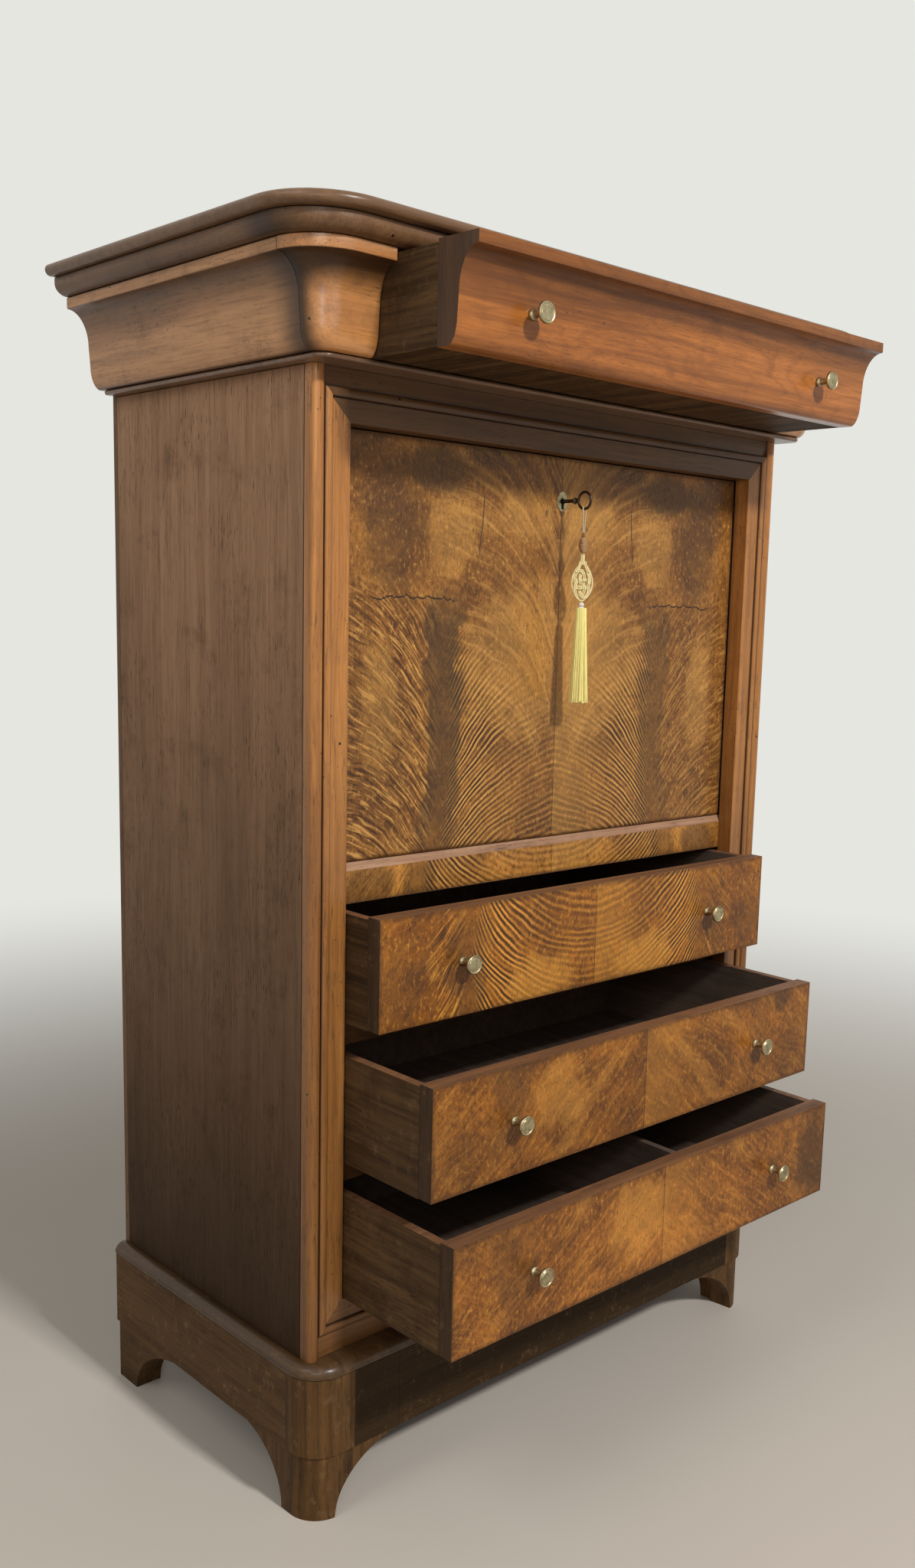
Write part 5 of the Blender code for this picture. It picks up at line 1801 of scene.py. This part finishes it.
@dataclass
class Plinth(Assembly):
    """Base with its round upper edge, the band with corner blocks, and the bracket feet."""

    half: float = 0.4225
    forward: float = 0.030
    corner: float = 0.045
    quirk: float = 0.001
    bullnose: float = 0.0125
    band_join: float = 0.290
    band_gap: float = 0.0001
    band_ease: float = 0.0005
    flank_ease: float = 0.0006
    front_seam: float = 0.065
    side_seam: float = 0.0485
    foot_inset: float = 0.004
    foot_thick: float = 0.036
    foot_lip: float = 0.0015
    front_span: float = 0.1145
    side_span: float = 0.097
    side_toe: float = 0.059
    rear_span: float = 0.1325
    rear_toe: float = 0.046

    def put(self, shape: Shape, name: str, node: str, finish: Finish, angle: float = 32.0) -> None:
        """Make a shape the piece of the plinth that stands for a node."""
        self.shop.fit(shape.piece(name, self.shop.finish(finish), angle=angle), "case", "plinth_walnut", node)

    def build(self) -> None:
        """Build and dress the plinth."""
        front = FACE - self.forward
        low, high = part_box("plinth_bullnose")
        rise = high.z - low.z - self.bullnose
        edge = [(-self.quirk, low.z), (self.quirk * 0.4, low.z + rise * 0.3), (self.quirk, low.z + rise)]
        edge += arc((self.quirk - self.bullnose, low.z + rise), (self.bullnose, self.bullnose), 0, 90, 12)
        rings = [[(x, y, height) for x, y in plan(self.half + out, front - out, high.y, self.corner + out, 18)]
                 for out, height in edge]
        self.put(Shape().rings(rings), "plinth_round", "plinth_bullnose", PLINTH_ROUND)
        low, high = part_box("plinth_front")
        band = Shape()
        joins = [low.x, -self.band_join, self.band_join, high.x]
        for start, end in zip(joins, joins[1:]):
            band.box((start + self.band_gap, low.y, low.z), (end - self.band_gap, high.y, high.z), self.band_ease)
        self.put(band, "plinth_band", "plinth_front", PLINTH_FRONT_SHADED)
        for side in Side:
            low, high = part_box(f"plinth_side_{side.word}")
            self.put(Shape().box(low, high, self.flank_ease), f"plinth_flank_{side.word}",
                     f"plinth_side_{side.word}", PLINTH_SIDE)
            low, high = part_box(f"plinth_corner_{side.word}")
            bend = arc((self.half - self.corner, front + self.corner), (self.corner, self.corner), 270, 360, 18)
            seam_x = self.half - self.front_seam
            seam_y = front + self.side_seam
            outline = [(seam_x, seam_y), (seam_x, front), *bend, (self.half, seam_y)]
            self.put(Shape().prism([(side.value * x, y) for x, y in outline], Grain.UP, low.z, high.z),
                     f"plinth_block_{side.word}", f"plinth_corner_{side.word}", PLINTH_CORNER)
            self.front_foot(side)
            self.rear_foot(side)

    def bracket(self, height: float) -> list[tuple[Point, Point, float]]:
        """Walk along a bracket foot, from its front tip round the corner to its back tip.

        Args:
            height: Height of its top.

        Returns:
            Stations on its outside: a place from above, the way inwards, and how high its lower edge lies.
        """
        width = self.half - self.foot_inset
        front = FACE - self.forward + self.foot_inset
        radius = self.corner - self.foot_inset
        toe_x = width - self.foot_thick
        tip_x = toe_x - self.front_span
        toe_y = front + self.side_toe
        rise = height - self.foot_lip
        fine, round_steps = 36, 24
        stations: list[tuple[Point, Point, float]] = []
        for i in range(fine + 1):
            angle = math.radians(90 * i / fine)
            x = tip_x + self.front_span * math.sin(angle)
            if x < width - radius:
                stations.append(((x, front), (0.0, 1.0), rise * math.cos(angle)))
        for i in range(round_steps + 1):
            angle = math.radians(90 * i / round_steps)
            x = width - radius + radius * math.sin(angle)
            y = front + radius - radius * math.cos(angle)
            lift = 0.0
            if x < toe_x:
                lift = rise * math.sqrt(max(0.0, 1 - ((x - tip_x) / self.front_span) ** 2))
            stations.append(((x, y), (-math.sin(angle), math.cos(angle)), lift))
        stations.append(((width, toe_y), (-1.0, 0.0), 0.0))
        for i in range(1, fine + 1):
            angle = math.radians(90 * i / fine)
            y = toe_y + self.side_span * (1 - math.cos(angle))
            stations.append(((width, y), (-1.0, 0.0), rise * math.sin(angle)))
        return stations

    def front_foot(self, side: Side) -> None:
        """Bend a bracket round a front corner and cut its scrolls.

        Args:
            side: The side.
        """
        node = f"foot_front_{side.word}"
        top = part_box(node)[1].z
        rings = []
        for (x, y), (in_x, in_y), lift in self.bracket(top):
            outer_x, inner_x = side.value * x, side.value * (x + in_x * self.foot_thick)
            inner_y = y + in_y * self.foot_thick
            rings.append([(outer_x, y, lift), (outer_x, y, top), (inner_x, inner_y, top), (inner_x, inner_y, lift)])
        self.put(Shape().rings(rings), f"foot_scrolled_{side.word}", node, PLINTH_CORNER, 28)

    def rear_foot(self, side: Side) -> None:
        """Cut a back foot.

        Args:
            side: The side.
        """
        node = f"foot_rear_{side.word}"
        low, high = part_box(node)
        toe = high.y - self.rear_toe
        tip = toe - self.rear_span
        hollow = arc((tip, 0.0), (toe - tip, high.z - self.foot_lip), 90, 0, 30)
        outline = [(high.y, 0.0), (high.y, high.z), (tip, high.z), *hollow]
        foot = Shape().prism(outline, Grain.ACROSS, low.x, high.x)
        self.put(foot, f"foot_back_{side.word}", node, PLINTH_SIDE, 28)


@dataclass
class Knobs(Assembly):
    """The pair of turned brass knobs of one drawer."""

    body: str
    radius: float = 0.0115
    length: float = 0.0215
    neck: float = 0.0042
    collar: float = 0.0062

    def profile(self) -> list[Point]:
        """Give a knob as radius and height points, from its collar to its face.

        Returns:
            The points.
        """
        r, n, c, total = self.radius, self.neck, self.collar, self.length
        head = total - n
        foot = [(0.0, 0.0), (c, 0.0), (c, n * 0.28), (c * 0.92, n * 0.5), (c * 0.74, n * 0.72), (n * 1.02, n)]
        shank = [(n * 0.86, n + (head - n) * 0.35), (n * 0.92, n + (head - n) * 0.65), (n * 1.35, head - n * 0.45),
                 (r * 0.78, head - n * 0.12), (r * 0.93, head + 0.0001)]
        rim = arc((r * 0.90, (total + head) / 2), (r * 0.10, n / 2), -70, 80, 8)
        face = [(r * 0.84, total - 0.0002), (r * 0.80, total - 0.0007), (r * 0.74, total - 0.0007),
                (r * 0.70, total - 0.0002), (r * 0.4, total), (0.0, total)]
        return [*foot, *shank, *rim, *face]

    def build(self) -> None:
        """Turn one knob and set out two."""
        left_low, left_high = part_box(f"{self.body}_knob_left")
        right_low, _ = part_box(f"{self.body}_knob_right")
        place = ((left_low.x + left_high.x) / 2, left_high.y, (left_low.z + left_high.z) / 2)
        name, brass, angle = f"{self.body}_knob_pair", self.shop.finish(BRASS), 38.0
        turn = Matrix.Rotation(math.pi / 2, 4, "X")
        one = Shape().turned(self.profile(), turn, 36).piece(name, brass, angle=angle)
        start = one.data
        bpy.data.objects.remove(one)
        piece = self.shop.row.run(name, start, angle, Count=2, Start=place,
                                  Pitch=(right_low.x - left_low.x, 0.0, 0.0), Material=brass)
        self.shop.fit(piece, self.body, "brass", f"{self.body}_knob_left", f"{self.body}_knob_right")


@dataclass
class Tray(Assembly):
    """The boards of a drawer behind its front."""

    body: str
    partition: float | None = None
    side: float = 0.012
    floor: float = 0.008
    groove: float = 0.001
    gap: float = 0.0001
    ease: float = 0.0009
    slip: float = 0.0005
    partition_half: float = 0.005
    partition_drop: float = 0.006
    partition_ease: float = 0.0008

    @staticmethod
    def board(low: Vector, high: Vector, centre: Vector, normal: Vector) -> int:
        """Tell the outside of the boards, their top edges and the inside apart.

        Args:
            low: Lowest corner of the tray.
            high: Its highest corner.
            centre: A face's centre.
            normal: Its normal.

        Returns:
            The number of its finish.
        """
        skin, rim = 0.002, 0.003
        if normal.z > 0.5 and centre.z > high.z - rim:
            return 1
        outside = centre.x < low.x + skin or centre.x > high.x - skin or centre.y > high.y - skin
        return 0 if outside or normal.z < -0.5 else 2

    def build(self) -> None:
        """Board up the tray."""
        low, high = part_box(f"{self.body}_tray")
        left, right, back = low.x + self.side, high.x - self.side, high.y - self.side
        shape = Shape()
        for start in (low.x, right):
            shape.box((start, low.y, low.z), (start + self.side, high.y, high.z), self.ease)
        shape.box((left + self.gap, back, low.z), (right - self.gap, high.y, high.z), self.ease)
        shape.box((left - self.groove, low.y, low.z + self.slip),
                  (right + self.groove, high.y - self.groove, low.z + self.floor))
        if self.partition is not None:
            shape.box((self.partition - self.partition_half, low.y, low.z + self.floor - self.slip),
                      (self.partition + self.partition_half, back + self.groove, high.z - self.partition_drop),
                      self.partition_ease)
        finishes = [self.shop.finish(finish) for finish in (TRAY, CORE, HOLLOW)]
        piece = shape.piece(f"{self.body}_boards", *finishes,
                            pick=lambda centre, normal: self.board(low, high, centre, normal))
        self.shop.fit(piece, self.body, "drawer_oak", f"{self.body}_tray")


@dataclass
class Drawer(Assembly):
    """A drawer under the fall: veneered front, tray boards and knobs."""

    body: str
    veneer: FlameVeneer
    partition: float | None = None
    skin: float = 0.0014
    skin_ease: float = 0.0005
    glue: float = 0.00002
    ease: float = 0.0007

    def front(self) -> None:
        """Glue the veneer on the front board."""
        low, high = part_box(f"{self.body}_front")
        edge = low.y + self.skin
        shape = Shape().box(low, (high.x, edge, high.z), self.skin_ease)
        shape.box((low.x, edge + self.glue, low.z), high, self.ease)
        finishes = [self.shop.finish(finish) for finish in (self.veneer, CORE, FRONT_END)]
        piece = shape.piece(f"{self.body}_face", *finishes, pick=lambda centre, normal: 2 if abs(normal.x) > 0.7
                            else (0 if centre.y < edge and abs(normal.z) < 0.6 else 1))
        self.shop.fit(piece, self.body, "flame_veneer", f"{self.body}_front")

    def build(self) -> None:
        """Build and dress the drawer."""
        self.front()
        Tray(self.shop, self.body, self.partition).build()
        Knobs(self.shop, self.body).build()


@dataclass
class CorniceDrawer(Assembly):
    """Drawer in the cornice, the ogee cut on its front."""

    cornice: Cornice
    body: str = "cornice_drawer"

    def build(self) -> None:
        """Build and dress the drawer."""
        low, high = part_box(f"{self.body}_front")
        section = [(0.0, low.z), *self.cornice.face(low.z, high.z), (0.0, high.z)]
        piece = self.shop.moulding.along(f"{self.body}_ogee", [(low.x, high.y), (high.x, high.y)], section,
                                         self.shop.finish(OGEE_FRONT), self.shop.finish(OGEE_END))
        self.shop.fit(piece, self.body, "cornice_walnut", f"{self.body}_front")
        Tray(self.shop, self.body).build()
        Knobs(self.shop, self.body).build()


@dataclass
class Fall(Assembly):
    """Veneered fall front with its levers, lock, keyhole plate, bolt and key."""

    key_hole: float = 0.0032
    shank: float = 0.0024
    collar: float = 0.0042
    bow: float = 0.0105
    bow_wire: float = 0.0016
    bit_reach: float = 0.0072
    bit_thick: float = 0.002
    bit_back: float = 0.007
    bit_front: float = 0.0012
    bit_ease: float = 0.0002
    plate: Point = (0.018, 0.026)
    plate_edge: float = 0.0004
    plate_bed: float = 0.0001
    hole: float = 0.0042
    slot_half: float = 0.0021
    slot_drop: float = 0.0098
    ease: float = 0.0006
    iron_ease: float = 0.0003

    def panel(self) -> None:
        """Dress the fall: flame figure outside, plain inside."""
        low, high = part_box("fall_front")
        veneer = FlameVeneer("fall_veneer", tuple(low), tuple(high), crack=1.0, seed=2.0, blots=(
            Blot(0.275, 1.170, 0.055, 0.085, 0.58), Blot(0.215, 1.235, 0.070, 0.030, 0.80),
            Blot(0.110, 1.255, 0.060, 0.016, 0.55), Blot(0.330, 1.250, 0.050, 0.030, 0.50),
            Blot(0.112, 1.075, 0.028, 0.040, 0.15), Blot(0.345, 0.860, 0.020, 0.060, 0.35),
            Blot(0.200, 0.810, 0.040, 0.030, 0.45), Blot(0.185, 1.165, 0.040, 0.060, -0.22),
            Blot(0.290, 0.960, 0.030, 0.090, -0.25), Blot(0.060, 1.190, 0.050, 0.040, -0.18),
            Blot(0.050, 1.010, 0.110, 0.110, -0.25), Blot(0.300, 0.930, 0.070, 0.130, 0.26, Side.LEFT),
            Blot(0.027, 1.196, 0.0025, 0.005, 0.85, Side.LEFT),
            Blot(0.043, 1.180, 0.009, 0.004, 0.80, Side.RIGHT)))
        self.shop.keep("fall_front", veneer, self.ease)

    def key(self) -> None:
        """Turn the shank, close the bow into a ring and file the bit."""
        low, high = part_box("key")
        plate_low, plate_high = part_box("escutcheon")
        centre = Vector((0.0, low.y + self.bow + self.bow_wire, (plate_low.z + plate_high.z) / 2))
        start = centre.y + self.bow - self.bow_wire / 2
        back = Matrix.Translation((0.0, start, centre.z)) @ Matrix.Rotation(-math.pi / 2, 4, "X")
        length = high.y - start
        s, c, w = self.shank, self.collar, self.bow_wire
        first = 3.5 * w
        shape = Shape().turned(
            [(0.0, 0.0), (s * 0.9, 0.0), (s * 1.25, first * 0.4), (s, first * 0.8), (c * 0.8, first),
             (c, first + w * 0.5), (c, first + w * 1.2), (c * 0.8, first + w * 1.8), (s, first + w * 2.2),
             (s, length - 0.0006), (s * 0.8, length), (0.0, length)], back, 24)
        rings = []
        for out_y, out_z in arc((0.0, 0.0), (1.0, 1.0), 0, 360, 48)[:-1]:
            out = Vector((0.0, out_y, out_z))
            rings.append([centre + out * (self.bow + a) + Vector((b, 0.0, 0.0))
                          for a, b in arc((0.0, 0.0), (w, w), 0, 360, 12)[:-1]])
        shape.rings(rings, True)
        clear = self.bow + w + 0.0005
        top = high.z if abs(high.z - centre.z) > clear else centre.z + self.bit_reach
        shape.box((-self.bit_thick / 2, high.y - self.bit_back, centre.z),
                  (self.bit_thick / 2, high.y - self.bit_front, top), self.bit_ease)
        self.shop.fit(shape.piece("key_forged", self.shop.finish(IRON), angle=40), "key", "iron", "key")

    def keyhole(self, angle: float) -> float:
        """Give the reach of the keyhole from its middle, a round hole over a slot.

        Args:
            angle: Direction in radians, from the right upwards.

        Returns:
            The reach.
        """
        down, across = -math.sin(angle), abs(math.cos(angle))
        if down <= 0.0:
            return self.hole
        return max(self.hole, min(self.slot_drop / down, self.slot_half / max(across, SPECK)))

    def plate_piece(self) -> None:
        """Set the oval plate with its keyhole round the shank; the keyhole's walls and bottom get near-black
        painted shade.
        """
        low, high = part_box("escutcheon")
        middle = (low.z + high.z) / 2
        wide, tall = self.plate[0] / 2, self.plate[1] / 2
        steps, inset = 96, 0.95
        angles = [math.tau * i / steps for i in range(steps)]
        oval = [(wide, tall)] * steps
        rim = [(wide * inset, tall * inset)] * steps
        cut = [(self.keyhole(angle),) * 2 for angle in angles]
        bore = [(self.key_hole,) * 2] * steps
        bed = high.y - self.plate_bed
        rings = [[(across * math.cos(angle), y, middle + up * math.sin(angle))
                  for (across, up), angle in zip(reach, angles)]
                 for reach, y in ((oval, high.y), (oval, low.y + self.plate_edge), (rim, low.y), (cut, low.y),
                                  (cut, bed), (bore, bed), (bore, high.y))]
        # Faces inside the keyhole get the near-black painted shade.
        piece = Shape().rings(rings, True).piece(
            "keyhole_plate", self.shop.finish(PLATE), self.shop.finish(KEYHOLE_SHADE), pick=lambda centre, normal: int(
                math.hypot(centre.x, centre.z - middle)
                < self.keyhole(math.atan2(centre.z - middle, centre.x)) * 1.001))
        self.shop.fit(piece, "fall", "brass", "escutcheon")

    def build(self) -> None:
        """Build and dress the fall."""
        self.panel()
        self.plate_piece()
        self.key()
        for name in ("fall_lever_left", "fall_lever_right", "lock_case", "lock_bolt"):
            self.shop.keep(name, IRON, self.iron_ease)


@dataclass
class Nest(Assembly):
    """Shelf and two small drawers behind the fall."""

    ease: float = 0.0006

    def build(self) -> None:
        """Dress the nest."""
        self.shop.keep("nest_shelf", INNER, self.ease)
        for side in Side:
            self.shop.keep(f"small_drawer_{side.word}", LEVEL, self.ease)


def drawers(shop: Workshop) -> list[Drawer]:
    """Give the three drawers under the fall with their veneers.

    Args:
        shop: Builds them.

    Returns:
        The drawers from the top.
    """
    looks = (
        ("upper_drawer", None, dict(
            from_top=True, spine=0.215, patch=0.55, reach=0.15, curl=0.085, plume=0.30, feather=0.9, fringe=0.07,
            swirl=0.35, seed=31.0, golden=srgb(174, 106, 29), brown=srgb(116, 65, 16), gleam=srgb(230, 162, 68),
            blots=(Blot(0.33, 0.645, 0.05, 0.05, 0.45), Blot(0.255, 0.63, 0.02, 0.06, 0.5, Side.RIGHT),
                   Blot(0.10, 0.62, 0.06, 0.04, -0.35)))),
        ("middle_drawer", None, dict(
            spine=0.240, patch=0.25, reach=0.10, curl=0.12, ripple=0.05, plume=0.25, feather=0.10, swirl=0.80,
            seed=43.0, golden=srgb(158, 95, 27), brown=srgb(102, 58, 15), gleam=srgb(214, 148, 62),
            blots=(Blot(0.235, 0.53, 0.04, 0.05, 0.55, Side.LEFT), Blot(0.33, 0.47, 0.05, 0.06, 0.35),
                   Blot(0.285, 0.55, 0.02, 0.03, 0.75, Side.RIGHT),
                   Blot(0.15, 0.51, 0.05, 0.045, -0.35, Side.LEFT)))),
        ("lower_drawer", 0.06, dict(
            spine=0.255, patch=0.45, reach=0.12, curl=0.10, ripple=0.07, plume=0.25, feather=0.15, swirl=0.80,
            seed=57.0, golden=srgb(176, 108, 38), brown=srgb(116, 66, 22), gleam=srgb(226, 156, 66),
            blots=(Blot(0.27, 0.35, 0.035, 0.06, 0.6, Side.LEFT), Blot(0.325, 0.32, 0.055, 0.08, 0.9, Side.RIGHT),
                   Blot(0.33, 0.38, 0.05, 0.03, 0.4, Side.LEFT), Blot(0.05, 0.34, 0.06, 0.06, -0.4, Side.LEFT)))))
    made = []
    for body, partition, look in looks:
        low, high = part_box(f"{body}_front")
        veneer = FlameVeneer(f"{body}_veneer", tuple(low), tuple(high), ripple_drop=0.0, **look)
        made.append(Drawer(shop, body, veneer, partition))
    return made


def main() -> None:
    """Build the studio and every sub-assembly."""
    logging.basicConfig(level=logging.INFO, format="%(name)s: %(message)s")
    bpy.context.scene.view_settings.view_transform = "Standard"
    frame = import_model()
    shop = Workshop(frame)
    studio = Studio()
    studio.camera()
    tassel = Tassel(shop)
    tassel.loop()
    studio.floor()
    studio.light()
    cornice = Cornice(shop)
    for assembly in (cornice, CorniceDrawer(shop, cornice), Case(shop), Plinth(shop), *drawers(shop), Fall(shop),
                     Nest(shop), tassel):
        LOG.info("building: %s", type(assembly).__name__)
        assembly.build()


if __name__ == "__main__":
    main()
